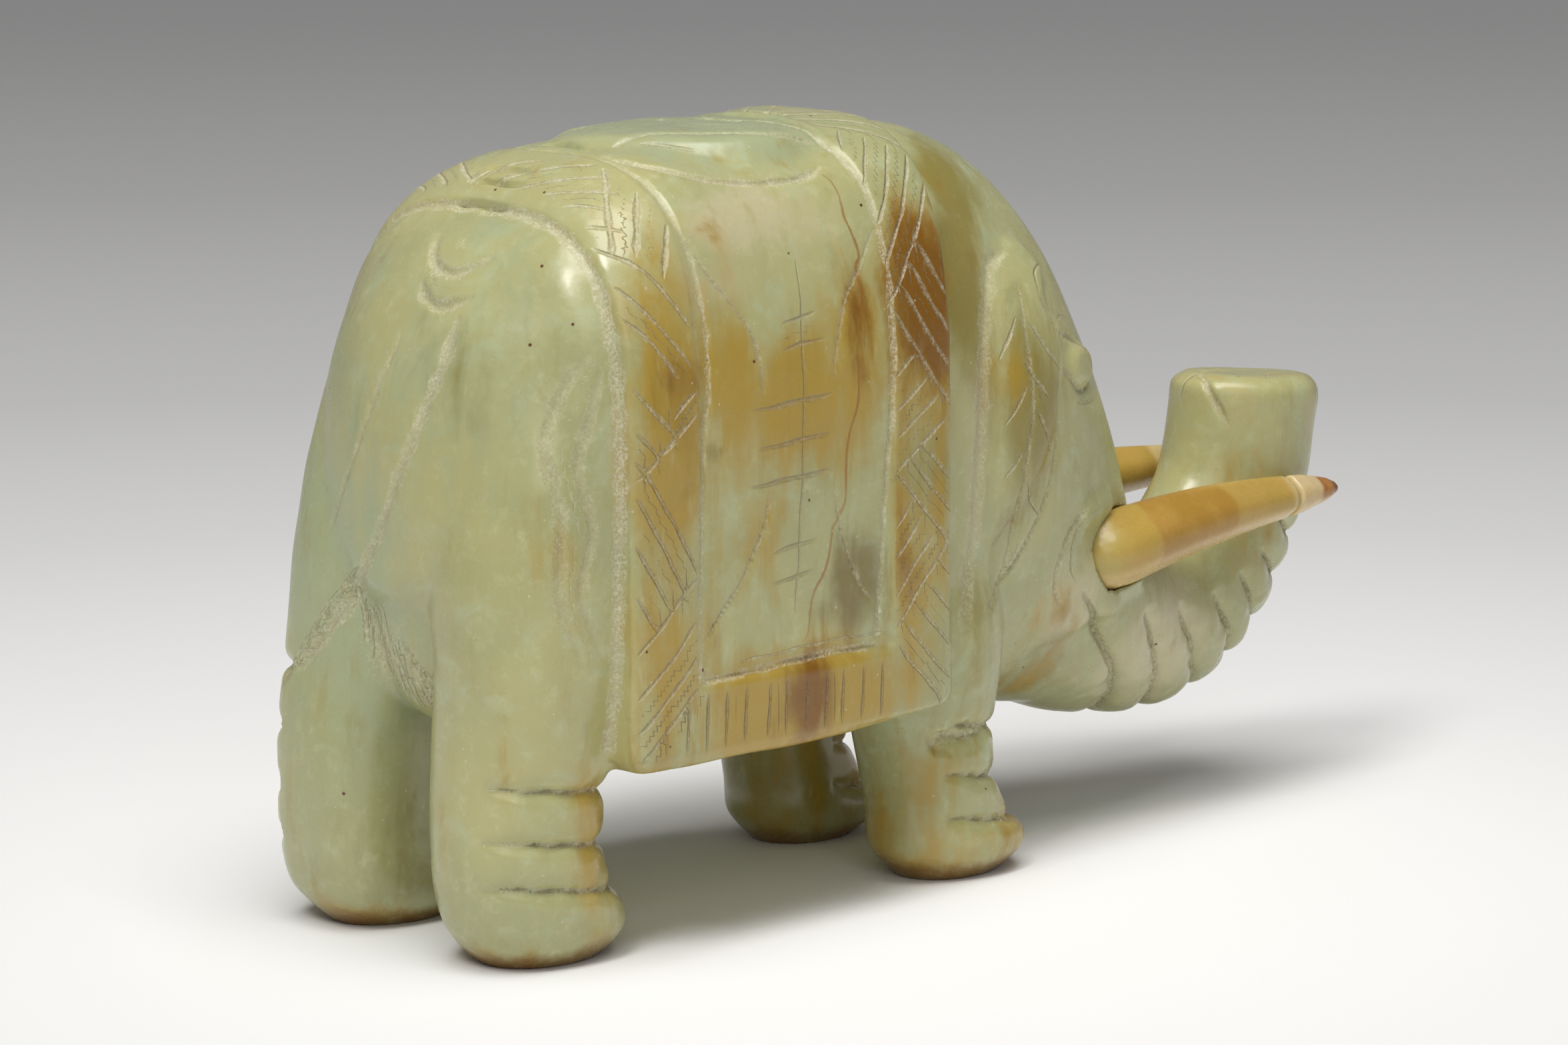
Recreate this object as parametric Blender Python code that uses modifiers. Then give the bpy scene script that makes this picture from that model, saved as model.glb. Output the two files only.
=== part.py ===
"""Carved jade elephant with inlaid tusks, standing, facing -Y with its left side at +X.

The animal, its saddle cloth, ears and tail are one block of stone. The tusks are separate
pieces of honey-coloured stone set in blind sockets beside the trunk, and the right one has
a short end piece bonded on.
"""
import math

import bmesh
import bpy
from mathutils import Vector

MM = 0.001

# Driving dimensions, in millimetres.
HEIGHT = 74.2           # soles to the top of the saddle pad
HALF_WIDTH = 21.4       # flank of the saddle cloth
HEM_HEIGHT = 17.8       # lower edge of the saddle cloth
CLOTH_REAR = 39.5       # Y of the cloth's rear edge
CLOTH_FRONT = -0.8      # Y of the cloth's front edge
PAD_RISE = 0.9          # how far the saddle pad stands above the cloth
GAP = 0.3               # bond line between two pieces
SOLE_SINK = 0.8         # how much of each foot the flat soles take off
HIND_LEG_X = 10.5       # middle of the hind leg columns
HIND_LEG_Y = 44.4
LEFT_SPLAY = 0.9        # how much further out and back the left hind foot stands
FORELEG_X = 10.4        # middle of the foreleg columns
RIGHT_FORELEG_Y = -6.4
LEFT_FORELEG_Y = -5.8
CENTRE_Y = -8.33        # the carving's middle, which becomes the origin

VOXEL = 0.75
BODY_TRIANGLES = 7000


def clear_scene():
    """Remove whatever the file opened with."""
    for thing in list(bpy.data.objects):
        bpy.data.objects.remove(thing, do_unlink=True)


def new_collection(name):
    """Return a collection linked to the scene."""
    made = bpy.data.collections.new(name)
    bpy.context.scene.collection.children.link(made)
    return made


def stone(name, colour, roughness):
    """Return a polished stone material."""
    made = bpy.data.materials.new(name)
    made.use_nodes = True
    shader = made.node_tree.nodes["Principled BSDF"]
    shader.inputs["Base Color"].default_value = (*colour, 1.0)
    shader.inputs["Roughness"].default_value = roughness
    shader.inputs["Metallic"].default_value = 0.0
    made.diffuse_color = (*colour, 1.0)
    return made


def spline(stations, steps):
    """Return `steps` rows per span of a Catmull-Rom curve through rows of numbers."""
    rows = []
    last = len(stations) - 1
    for i in range(last):
        a = stations[max(i - 1, 0)]
        b, c = stations[i], stations[i + 1]
        d = stations[min(i + 2, last)]
        for step in range(steps):
            t = step / steps
            rows.append([
                0.5 * (2 * q + (r - p) * t + (2 * p - 5 * q + 4 * r - s) * t * t
                       + (3 * q - p - 3 * r + s) * t ** 3)
                for p, q, r, s in zip(a, b, c, d)
            ])
    rows.append(list(stations[last]))
    return rows


def superellipse(angle, power):
    """Return the point at `angle` on a unit superellipse."""
    c, s = math.cos(angle), math.sin(angle)
    return (math.copysign(abs(c) ** (2 / power), c), math.copysign(abs(s) ** (2 / power), s))


def add_loft(bm, rings):
    """Add one closed skin over rings of equally many points, capped at both ends."""
    rows = [[bm.verts.new(Vector(p) * MM) for p in ring] for ring in rings]
    count = len(rows[0])
    for low, high in zip(rows, rows[1:]):
        for i in range(count):
            j = (i + 1) % count
            bm.faces.new((low[i], low[j], high[j], high[i]))
    bm.faces.new(rows[0])
    bm.faces.new(rows[-1])


def upright_loft(bm, stations, steps=4, sides=28):
    """Loft horizontal sections: x, y, z, half width, half depth, power."""
    rings = []
    for x, y, z, across, along, power in spline(stations, steps):
        around = [superellipse(2 * math.pi * i / sides, power) for i in range(sides)]
        rings.append([(x + across * c, y + along * s, z) for c, s in around])
    add_loft(bm, rings)


def lengthwise_loft(bm, stations, steps=4, sides=40):
    """Loft upright sections: x, y, top, widest height, bottom, half width, upper and lower power."""
    rings = []
    for x, y, top, waist, bottom, across, upper, lower in spline(stations, steps):
        ring = []
        for i in range(sides):
            angle = 2 * math.pi * i / sides
            above = i <= sides // 2
            c, s = superellipse(angle, upper if above else lower)
            ring.append((x + across * c, y, waist + s * ((top - waist) if above else (waist - bottom))))
        rings.append(ring)
    add_loft(bm, rings)


def swept_loft(bm, stations, steps=5, sides=24):
    """Loft sections along a path: x, y, z, half width in X, half depth across the path."""
    rows = spline(stations, steps)
    rings = []
    for i, (x, y, z, across, along) in enumerate(rows):
        before, after = rows[max(i - 1, 0)], rows[min(i + 1, len(rows) - 1)]
        heading = Vector([q - p for p, q in zip(before[:3], after[:3])]).normalized()
        side = Vector((1.0, 0.0, 0.0))
        side = (side - heading * side.dot(heading)).normalized()
        up = side.cross(heading)
        ring = []
        for k in range(sides):
            angle = 2 * math.pi * k / sides
            offset = side * (across * math.cos(angle)) + up * (along * math.sin(angle))
            ring.append(tuple(Vector((x, y, z)) + offset))
        rings.append(ring)
    add_loft(bm, rings)


def mesh_object(name, collection, material, bm, shift=0.0):
    """Return an object holding `bm`, with its faces turned out and moved by `shift` in Y."""
    bmesh.ops.recalc_face_normals(bm, faces=bm.faces)
    bmesh.ops.translate(bm, verts=bm.verts, vec=(0.0, shift * MM, 0.0))
    mesh = bpy.data.meshes.new(name)
    bm.to_mesh(mesh)
    bm.free()
    if material:
        mesh.materials.append(material)
    mesh.shade_smooth()
    made = bpy.data.objects.new(name, mesh)
    collection.objects.link(made)
    return made


def torso(bm):
    """Barrel of the body, from the rump to the chest."""
    lengthwise_loft(bm, [
        (0.0, 51.6, 47.6, 40.0, 34.0, 4.6, 2.0, 2.0),
        (0.0, 50.2, 53.6, 41.0, 32.0, 10.4, 2.2, 2.0),
        (0.0, 47.4, 60.4, 42.0, 29.0, 14.8, 2.4, 2.0),
        (0.0, 44.0, 64.6, 42.0, 26.0, 18.0, 2.6, 2.1),
        (0.0, 40.6, 66.9, 42.0, 23.4, 19.8, 3.4, 2.3),
        (0.0, 35.0, 70.4, 42.0, 21.0, 20.2, 3.0, 2.4),
        (0.0, 22.0, 72.6, 42.0, 20.0, 19.8, 3.0, 2.6),
        (0.0, 4.0, 73.0, 42.0, 18.6, 19.0, 2.9, 2.6),
        (0.0, -6.0, 71.6, 42.0, 15.0, 17.8, 2.7, 2.4),
        (0.0, -14.0, 68.0, 42.0, 14.0, 16.0, 2.5, 2.2),
        (0.0, -20.0, 60.0, 42.0, 16.0, 13.0, 2.2, 2.0),
    ])


def saddle_cloth(bm):
    """Cloth over the back, hanging straight down both flanks."""
    rear, front = CLOTH_REAR, CLOTH_FRONT
    crown = HEIGHT - PAD_RISE
    waist = 43.0
    stations = [
        (rear, crown - 5.4, HEM_HEIGHT + 1.2, HALF_WIDTH - 0.4, 3.3),
        (rear - 1.5, crown - 4.2, HEM_HEIGHT, HALF_WIDTH, 3.3),
        (rear - 5.0, crown - 2.0, HEM_HEIGHT, HALF_WIDTH, 3.2),
        (rear - 12.0, crown - 0.4, HEM_HEIGHT, HALF_WIDTH - 0.3, 3.1),
        (rear - 24.0, crown, HEM_HEIGHT, HALF_WIDTH - 0.8, 3.1),
        (front + 4.0, crown + 1.2, HEM_HEIGHT + 0.8, HALF_WIDTH - 1.4, 3.2),
        (front, crown + 1.1, HEM_HEIGHT + 1.4, HALF_WIDTH - 1.9, 3.2),
    ]
    rings = []
    for y, top, hem, across, power in spline(stations, 4):
        ring = [(-across, y, hem + 0.8), (-across + 0.8, y, hem), (across - 0.8, y, hem)]
        ring.append((across, y, hem + 0.8))
        for i in range(25):
            c, s = superellipse(math.pi * i / 24, power)
            ring.append((across * c, y, waist + (top - waist) * s))
        rings.append(ring)
    add_loft(bm, rings)


def saddle_pad(bm):
    """Low leaf-shaped pad on top of the cloth."""
    base = HEIGHT - PAD_RISE - 2.0
    upright_loft(bm, [
        (0.0, 14.0, base, 12.5, 16.0, 1.8),
        (0.0, 14.0, HEIGHT - 0.9, 11.0, 15.0, 1.8),
        (0.0, 13.0, HEIGHT - 0.3, 9.0, 13.0, 1.8),
        (0.0, 11.0, HEIGHT, 5.0, 8.0, 1.8),
    ])


def head(bm):
    """Neck, forehead and cheeks."""
    lengthwise_loft(bm, [
        (0.0, -2.0, 73.0, 42.0, 20.0, 17.6, 2.7, 2.3),
        (0.0, -9.0, 73.0, 42.0, 16.0, 17.3, 2.4, 2.3),
        (0.0, -16.0, 70.2, 40.0, 14.6, 16.4, 2.3, 2.3),
        (0.0, -22.0, 64.8, 38.0, 13.6, 14.9, 2.3, 2.3),
        (0.0, -27.5, 57.6, 35.0, 12.8, 12.9, 2.2, 2.3),
        (0.0, -31.6, 50.4, 31.0, 12.0, 11.0, 2.2, 2.2),
        (0.0, -35.0, 43.6, 28.0, 12.0, 9.4, 2.1, 2.1),
        (0.0, -37.8, 36.5, 25.0, 13.0, 7.6, 2.0, 2.0),
        (0.0, -39.4, 32.0, 23.0, 15.0, 6.0, 2.0, 2.0),
    ])


def trunk(bm):
    """Trunk, dropping forward from the face and curling up to a blunt, nearly flat tip."""
    swept_loft(bm, [
        (0.0, -28.0, 25.0, 12.0, 12.0),
        (0.0, -36.0, 21.6, 11.0, 11.0),
        (0.0, -43.5, 19.5, 8.8, 9.8),
        (0.0, -50.0, 20.4, 7.6, 9.3),
        (0.0, -54.8, 24.4, 7.2, 9.4),
        (0.0, -58.4, 29.6, 6.9, 9.0),
        (0.0, -60.2, 34.8, 6.9, 8.9),
        (0.0, -60.9, 39.6, 7.0, 8.8),
        (0.0, -61.3, 43.3, 6.8, 8.4),
    ])


def hind_leg(bm, side):
    """One hind leg with its rounded foot and forward toe, rising into the haunch."""
    x, y = HIND_LEG_X * side, HIND_LEG_Y
    splay, power = (LEFT_SPLAY, 2.9) if side > 0 else (0.0, 2.3)
    low_x, low_y = x + splay, y + splay
    upright_loft(bm, [
        (low_x, low_y - 2.4, -SOLE_SINK, 3.9, 5.0, 2.0),
        (low_x, low_y - 2.5, 0.4, 5.0, 6.4, 2.1),
        (low_x, low_y - 2.5, 1.6, 6.1, 7.7, 2.2),
        (low_x, low_y - 2.1, 3.6, 7.1, 8.6, power),
        (low_x, low_y - 0.9, 6.6, 7.4, 8.2, power),
        (low_x, low_y, 10.5, 7.3, 7.7, power),
        (low_x, low_y - 0.4, 18.0, 7.5, 7.9, power),
        (x + 0.6 * side, y - 1.6, 26.0, 8.1, 8.9, power),
        (x + 0.2 * side, y - 2.9, 36.0, 8.8, 9.9, 2.3),
        (x - 0.2 * side, y - 4.4, 47.0, 8.5, 9.2, 2.2),
        (x - 1.0 * side, y - 5.6, 56.0, 7.2, 7.6, 2.2),
    ])


def leg_web(bm):
    """Stone left between the hind legs below the rump."""
    upright_loft(bm, [
        (0.0, 43.0, 20.6, 2.4, 2.4, 2.0),
        (0.0, 43.6, 23.6, 6.0, 4.6, 2.0),
        (0.0, 43.6, 31.0, 9.0, 6.4, 2.0),
        (0.0, 42.6, 41.0, 10.0, 6.8, 2.0),
    ])


def foreleg(bm, side):
    """One foreleg with its rounded foot and forward toe."""
    x = FORELEG_X * side
    y = LEFT_FORELEG_Y if side > 0 else RIGHT_FORELEG_Y
    upright_loft(bm, [
        (x, y - 2.2, -SOLE_SINK, 3.6, 4.4, 2.0),
        (x, y - 2.4, 0.4, 4.6, 6.0, 2.1),
        (x, y - 2.7, 1.6, 5.7, 7.4, 2.2),
        (x, y - 2.5, 3.4, 6.5, 8.5, 2.2),
        (x, y - 1.2, 6.2, 6.3, 7.2, 2.2),
        (x, y, 10.0, 6.2, 6.6, 2.2),
        (x, y + 0.8, 16.0, 6.4, 7.4, 2.2),
        (x, y + 1.6, 24.0, 7.2, 9.0, 2.2),
        (x, y + 2.0, 36.0, 6.0, 8.0, 2.1),
    ])


def ear(bm, side):
    """Leaf-shaped ear lying flat against the side of the head."""
    upright_loft(bm, [
        (12.6 * side, -5.0, 24.0, 0.8, 0.8, 2.0),
        (14.9 * side, -7.2, 31.5, 1.5, 2.8, 2.0),
        (16.0 * side, -10.8, 40.0, 1.9, 5.0, 2.0),
        (15.9 * side, -12.6, 49.0, 1.9, 6.2, 2.0),
        (14.6 * side, -13.4, 57.0, 1.9, 5.4, 2.0),
        (12.6 * side, -13.4, 62.0, 1.2, 2.6, 2.0),
    ], steps=3, sides=20)


def cheek(bm, side):
    """Swelling of the lip that holds a tusk's root."""
    swept_loft(bm, [
        (8.0 * side, -18.0, 27.0, 6.6, 8.0),
        (8.4 * side, -24.0, 27.4, 5.8, 7.0),
        (8.6 * side, -30.0, 27.8, 4.6, 6.2),
        (8.8 * side, -35.0, 28.0, 3.2, 4.6),
    ], steps=3, sides=20)


def tail(bm):
    """Tail in low relief, from the top of the rump across to the left hind leg."""
    swept_loft(bm, [
        (-1.6, 43.6, 60.0, 1.4, 1.2),
        (0.5, 47.0, 56.0, 3.0, 1.8),
        (5.0, 48.8, 48.0, 4.4, 2.0),
        (9.6, 46.6, 38.0, 5.0, 2.2),
        (13.0, 46.6, 29.0, 3.6, 2.2),
        (14.6, 47.0, 23.5, 1.2, 1.2),
    ], sides=20)


def tusk_stations(side, start, end, swell=0.0):
    """Return the sections of a tusk between two shares of its length."""
    lift = 1.0 if side > 0 else 0.0
    root = Vector((12.2 * side, -25.8, 29.0 + lift))
    tip = Vector((9.2 * side, -65.6, 32.0 + lift))
    radii = [(0.0, 1.9), (0.03, 3.3), (0.08, 3.95), (0.15, 4.1), (0.45, 3.35), (0.72, 2.5),
             (0.86, 2.05), (0.96, 1.25), (1.0, 0.6)]

    def radius(share):
        for (a, ra), (b, rb) in zip(radii, radii[1:]):
            if share <= b:
                return ra + (rb - ra) * (share - a) / (b - a)
        return radii[-1][1]

    shares = [start] + [share for share, _ in radii if start < share < end] + [end]
    stations = []
    for share in shares:
        place = root.lerp(tip, share)
        place.z += 0.9 * math.sin(math.pi * share)
        size = radius(share) + swell
        stations.append((place.x, place.y, place.z, size * 0.9, size))
    return stations


def tusk_piece(name, collection, material, side, start, end, swell=0.0):
    """Return one length of a tusk as its own solid."""
    bm = bmesh.new()
    swept_loft(bm, tusk_stations(side, start, end, swell), steps=2, sides=20)
    return mesh_object(name, collection, material, bm, -CENTRE_Y)


def cut(target, cutter, name):
    """Subtract `cutter` from `target`."""
    step = target.modifiers.new(name, "BOOLEAN")
    step.operation = "DIFFERENCE"
    step.solver = "EXACT"
    step.object = cutter
    cutter.hide_render = True
    cutter.display_type = "WIRE"


def carved_body(collection, cutters, material):
    """Return the block-carved animal with its flat soles and tusk sockets."""
    bm = bmesh.new()
    torso(bm)
    saddle_cloth(bm)
    saddle_pad(bm)
    head(bm)
    trunk(bm)
    for side in (-1, 1):
        hind_leg(bm, side)
        foreleg(bm, side)
        ear(bm, side)
        cheek(bm, side)
    tail(bm)
    leg_web(bm)
    body = mesh_object("carved_body", collection, material, bm, -CENTRE_Y)

    merge = body.modifiers.new("one skin", "REMESH")
    merge.mode = "VOXEL"
    merge.voxel_size = VOXEL * MM
    merge.use_smooth_shade = True
    soften = body.modifiers.new("polish", "SMOOTH")
    soften.factor = 0.5
    soften.iterations = 3
    thin = body.modifiers.new("fewer faces", "DECIMATE")
    faces = len(body.evaluated_get(bpy.context.evaluated_depsgraph_get()).data.polygons)
    thin.ratio = BODY_TRIANGLES / (2 * faces)

    floor_mesh = bmesh.new()
    bmesh.ops.create_cube(floor_mesh, size=0.3)
    floor = mesh_object("floor_cutter", cutters, None, floor_mesh)
    floor.location.z = -0.15
    cut(body, floor, "flat soles")
    for side, word in ((-1, "right"), (1, "left")):
        socket = tusk_piece(word + "_socket", cutters, None, side, -0.01, 1.02, GAP)
        cut(body, socket, word + " tusk socket")
    return body


def build():
    """Make every piece of the figurine."""
    clear_scene()
    pieces = new_collection("jade_elephant")
    cutters = new_collection("cutters")
    jade = stone("pale_green_jade", (0.42, 0.46, 0.27), 0.3)
    honey = stone("honey_stone", (0.62, 0.40, 0.16), 0.3)
    russet = stone("russet_stone", (0.40, 0.20, 0.08), 0.35)
    carved_body(pieces, cutters, jade)
    tusk_piece("right_tusk", pieces, honey, -1, 0.0, 0.80)
    tusk_piece("right_tusk_tip", pieces, russet, -1, 0.81, 1.0)
    tusk_piece("left_tusk", pieces, honey, 1, 0.0, 1.0)


build()
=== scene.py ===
"""Carved jade elephant with inlaid tusks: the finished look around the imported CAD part.

Everything is laid out in millimetres in the CAD frame: the animal faces -Y, its left side is
at +X, and the soles stand on Z = 0. The stone block is lofted, fused into one skin, polished
and then engraved; the engraved lines are kept as signed distances, so the stone's material
can draw them crisply.
"""
import math

import bmesh
import bpy
import numpy as np
from mathutils import Matrix, Vector
from mathutils.bvhtree import BVHTree
from mathutils.kdtree import KDTree


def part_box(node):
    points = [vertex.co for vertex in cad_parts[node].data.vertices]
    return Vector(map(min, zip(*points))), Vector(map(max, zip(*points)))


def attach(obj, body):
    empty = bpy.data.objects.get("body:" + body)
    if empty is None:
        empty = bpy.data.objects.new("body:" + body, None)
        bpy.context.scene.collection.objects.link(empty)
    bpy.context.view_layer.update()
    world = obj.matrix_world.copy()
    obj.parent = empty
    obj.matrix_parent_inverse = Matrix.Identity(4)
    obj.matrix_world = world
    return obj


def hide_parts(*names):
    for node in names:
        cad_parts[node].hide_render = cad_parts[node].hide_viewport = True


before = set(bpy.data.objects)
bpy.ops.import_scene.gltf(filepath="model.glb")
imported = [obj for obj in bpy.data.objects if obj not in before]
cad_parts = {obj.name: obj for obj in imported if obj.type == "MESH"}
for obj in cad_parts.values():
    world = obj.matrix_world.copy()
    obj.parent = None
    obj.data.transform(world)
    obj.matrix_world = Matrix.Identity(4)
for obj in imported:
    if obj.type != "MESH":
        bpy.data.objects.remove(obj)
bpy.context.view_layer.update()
BODY_LOW, BODY_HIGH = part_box("carved_body")

CARVING_HEIGHT = 74.53          # soles to the highest point of the cloth, in carving millimetres
CARVING_MIDDLE = 0.67           # Y of the carving's middle, in carving millimetres
MM = (BODY_HIGH.z - BODY_LOW.z) / CARVING_HEIGHT
INTO_FRAME = Vector((0.0, (BODY_LOW.y + BODY_HIGH.y) / 2 - CARVING_MIDDLE * MM, 0.0))

HEIGHT = 74.2                   # top of the saddle pad
HALF_WIDTH = 21.4               # flank of the cloth
HEM = 17.8                      # lower edge of the cloth
CLOTH_REAR = 48.5
CLOTH_FRONT = 7.9
WAIST = 43.0                    # height where the cloth starts to bend over the back
OVER_BACK = 44.0                # length of cloth from the waist to the ridge of the back
RIDGE = WAIST + OVER_BACK - 0.2 # just short of the ridge, where lines from both sides meet
REAR_BORDER = (40.8, 48.2)      # Y of the raised borders of the cloth
FRONT_BORDER = (8.8, 16.0)
HEM_BAND = (18.6, 25.0)         # Z of the raised band along the hem
BORDER_RISE = 0.28
HIND_LEG = (10.5, 53.4)         # middle of the hind leg columns
RIGHT_FORELEG_Y = 2.6
LEFT_FORELEG_Y = 3.2
FORELEG_X = 10.4

VOXEL = 0.4                     # mesh size of the fused skin
POLISH_ROUNDS = 9
SAMPLE_STEP = 0.2               # spacing of the points along an engraved line
REACH_PAST_LINE = 0.75          # how far past its half width a line still colours the stone
OUTSIDE = 90.0                  # far enough out to be clear of the whole carving
OUTSIDE_LEG = 13.0              # clear of a leg, but not as far as the next one
RIGHT, LEFT = -1, 1             # which side of X = 0; also the sign of x there

rng = np.random.default_rng(7)


# ---------------------------------------------------------------- lofts

def spline(stations, steps):
    """Return `steps` rows per span of a Catmull-Rom curve through rows of numbers."""
    rows = []
    last = len(stations) - 1
    for i in range(last):
        a = stations[max(i - 1, 0)]
        b, c = stations[i], stations[i + 1]
        d = stations[min(i + 2, last)]
        for step in range(steps):
            t = step / steps
            rows.append([
                0.5 * (2 * q + (r - p) * t + (2 * p - 5 * q + 4 * r - s) * t * t
                       + (3 * q - p - 3 * r + s) * t ** 3)
                for p, q, r, s in zip(a, b, c, d)
            ])
    rows.append(list(stations[last]))
    return rows


def superellipse(angle, power):
    """Return the point at `angle` on a unit superellipse."""
    c, s = math.cos(angle), math.sin(angle)
    return (math.copysign(abs(c) ** (2 / power), c), math.copysign(abs(s) ** (2 / power), s))


def add_loft(bm, rings):
    """Add one closed skin over rings of equally many points, capped at both ends."""
    rows = [[bm.verts.new(p) for p in ring] for ring in rings]
    count = len(rows[0])
    for low, high in zip(rows, rows[1:]):
        for i in range(count):
            j = (i + 1) % count
            bm.faces.new((low[i], low[j], high[j], high[i]))
    bm.faces.new(rows[0])
    bm.faces.new(rows[-1])


def upright_loft(bm, stations, steps=8, sides=48):
    """Loft horizontal sections: x, y, z, half width, half depth, power."""
    rings = []
    for x, y, z, across, along, power in spline(stations, steps):
        around = [superellipse(2 * math.pi * i / sides, power) for i in range(sides)]
        rings.append([(x + across * c, y + along * s, z) for c, s in around])
    add_loft(bm, rings)


def lengthwise_loft(bm, stations, steps=8, sides=72):
    """Loft upright sections: y, top, widest height, bottom, half width, upper and lower power."""
    rings = []
    for y, top, waist, bottom, across, upper, lower in spline(stations, steps):
        ring = []
        for i in range(sides):
            above = i <= sides // 2
            c, s = superellipse(2 * math.pi * i / sides, upper if above else lower)
            rise = (top - waist) if above else (waist - bottom)
            ring.append((across * c, y, waist + s * rise))
        rings.append(ring)
    add_loft(bm, rings)


def swept_rings(rows, outline):
    """Return rings of `outline` points along rows of x, y, z, half width, half depth."""
    rings = []
    for i, (x, y, z, across, along) in enumerate(rows):
        before, after = rows[max(i - 1, 0)], rows[min(i + 1, len(rows) - 1)]
        heading = Vector([q - p for p, q in zip(before[:3], after[:3])]).normalized()
        side = Vector((1.0, 0.0, 0.0))
        side = (side - heading * side.dot(heading)).normalized()
        up = side.cross(heading)
        rings.append([Vector((x, y, z)) + side * (across * c) + up * (along * s) for c, s in outline])
    return rings


def circle(sides):
    """Return points round a unit circle."""
    return [(math.cos(2 * math.pi * i / sides), math.sin(2 * math.pi * i / sides)) for i in range(sides)]


# ---------------------------------------------------------------- the stone block

TRUNK_PATH = [
    (0.0, -19.0, 25.0, 12.0, 12.0),
    (0.0, -27.0, 21.6, 11.0, 11.0),
    (0.0, -34.5, 19.5, 8.8, 9.8),
    (0.0, -41.0, 20.4, 7.6, 9.3),
    (0.0, -45.8, 24.4, 7.2, 9.4),
    (0.0, -49.4, 29.6, 6.9, 9.0),
    (0.0, -51.2, 34.8, 6.9, 8.9),
    (0.0, -51.9, 39.6, 7.0, 8.8),
    (0.0, -52.3, 42.5, 7.0, 8.7),
    (0.0, -52.4, 43.8, 5.6, 7.2),
]


def torso(bm):
    """Barrel of the body, from the rump to the chest."""
    lengthwise_loft(bm, [
        (60.6, 47.6, 40.0, 34.0, 4.6, 2.0, 2.0),
        (59.2, 53.6, 41.0, 32.0, 10.4, 2.2, 2.0),
        (56.4, 60.4, 42.0, 29.0, 14.8, 2.4, 2.0),
        (53.0, 64.6, 42.0, 26.0, 18.0, 2.6, 2.1),
        (49.6, 66.9, 42.0, 23.4, 19.8, 3.4, 2.3),
        (44.0, 70.4, 42.0, 21.0, 20.2, 3.0, 2.4),
        (31.0, 72.6, 42.0, 20.0, 19.8, 3.0, 2.6),
        (13.0, 73.0, 42.0, 18.6, 19.0, 2.9, 2.6),
        (3.0, 71.6, 42.0, 15.0, 17.8, 2.7, 2.4),
        (-5.0, 68.0, 42.0, 14.0, 16.0, 2.5, 2.2),
        (-11.0, 60.0, 42.0, 16.0, 13.0, 2.2, 2.0),
    ])


def saddle_cloth(bm):
    """Cloth over the back, hanging straight down both flanks."""
    crown = HEIGHT - 0.9
    stations = [
        (CLOTH_REAR, crown - 5.4, HEM + 1.2, HALF_WIDTH - 0.4, 3.1),
        (CLOTH_REAR - 1.5, crown - 4.2, HEM, HALF_WIDTH, 3.3),
        (CLOTH_REAR - 5.0, crown - 2.0, HEM, HALF_WIDTH, 3.2),
        (CLOTH_REAR - 12.0, crown - 0.4, HEM, HALF_WIDTH - 0.3, 3.1),
        (CLOTH_REAR - 24.0, crown, HEM, HALF_WIDTH - 0.8, 3.1),
        (CLOTH_FRONT + 4.0, crown + 1.2, HEM + 0.8, HALF_WIDTH - 1.4, 3.2),
        (CLOTH_FRONT, crown + 1.1, HEM + 1.4, HALF_WIDTH - 1.9, 3.2),
    ]
    rings = []
    for y, top, hem, across, power in spline(stations, 8):
        ring = [(-across, y, hem + 0.8), (-across + 0.8, y, hem), (across - 0.8, y, hem)]
        ring.append((across, y, hem + 0.8))
        for i in range(49):
            c, s = superellipse(math.pi * i / 48, power)
            ring.append((across * c, y, WAIST + (top - WAIST) * s))
        rings.append(ring)
    add_loft(bm, rings)


def saddle_pad(bm):
    """Low leaf-shaped pad on top of the cloth."""
    upright_loft(bm, [
        (0.0, 23.0, HEIGHT - 2.9, 12.5, 16.0, 1.8),
        (0.0, 23.0, HEIGHT - 0.9, 11.0, 15.0, 1.8),
        (0.0, 22.0, HEIGHT - 0.3, 9.0, 13.0, 1.8),
        (0.0, 20.0, HEIGHT, 5.0, 8.0, 1.8),
    ])


def head(bm):
    """Neck, forehead and cheeks."""
    lengthwise_loft(bm, [
        (7.0, 73.0, 42.0, 20.0, 17.6, 2.7, 2.3),
        (0.0, 73.0, 42.0, 16.0, 17.3, 2.4, 2.3),
        (-7.0, 70.2, 40.0, 14.6, 16.4, 2.3, 2.3),
        (-13.0, 64.8, 38.0, 13.6, 14.9, 2.3, 2.3),
        (-18.5, 57.6, 35.0, 12.8, 12.9, 2.2, 2.3),
        (-22.6, 50.4, 31.0, 12.0, 11.0, 2.2, 2.2),
        (-26.0, 43.6, 28.0, 12.0, 9.4, 2.1, 2.1),
        (-28.8, 36.5, 25.0, 13.0, 7.6, 2.0, 2.0),
        (-30.4, 32.0, 23.0, 15.0, 6.0, 2.0, 2.0),
    ])


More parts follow.
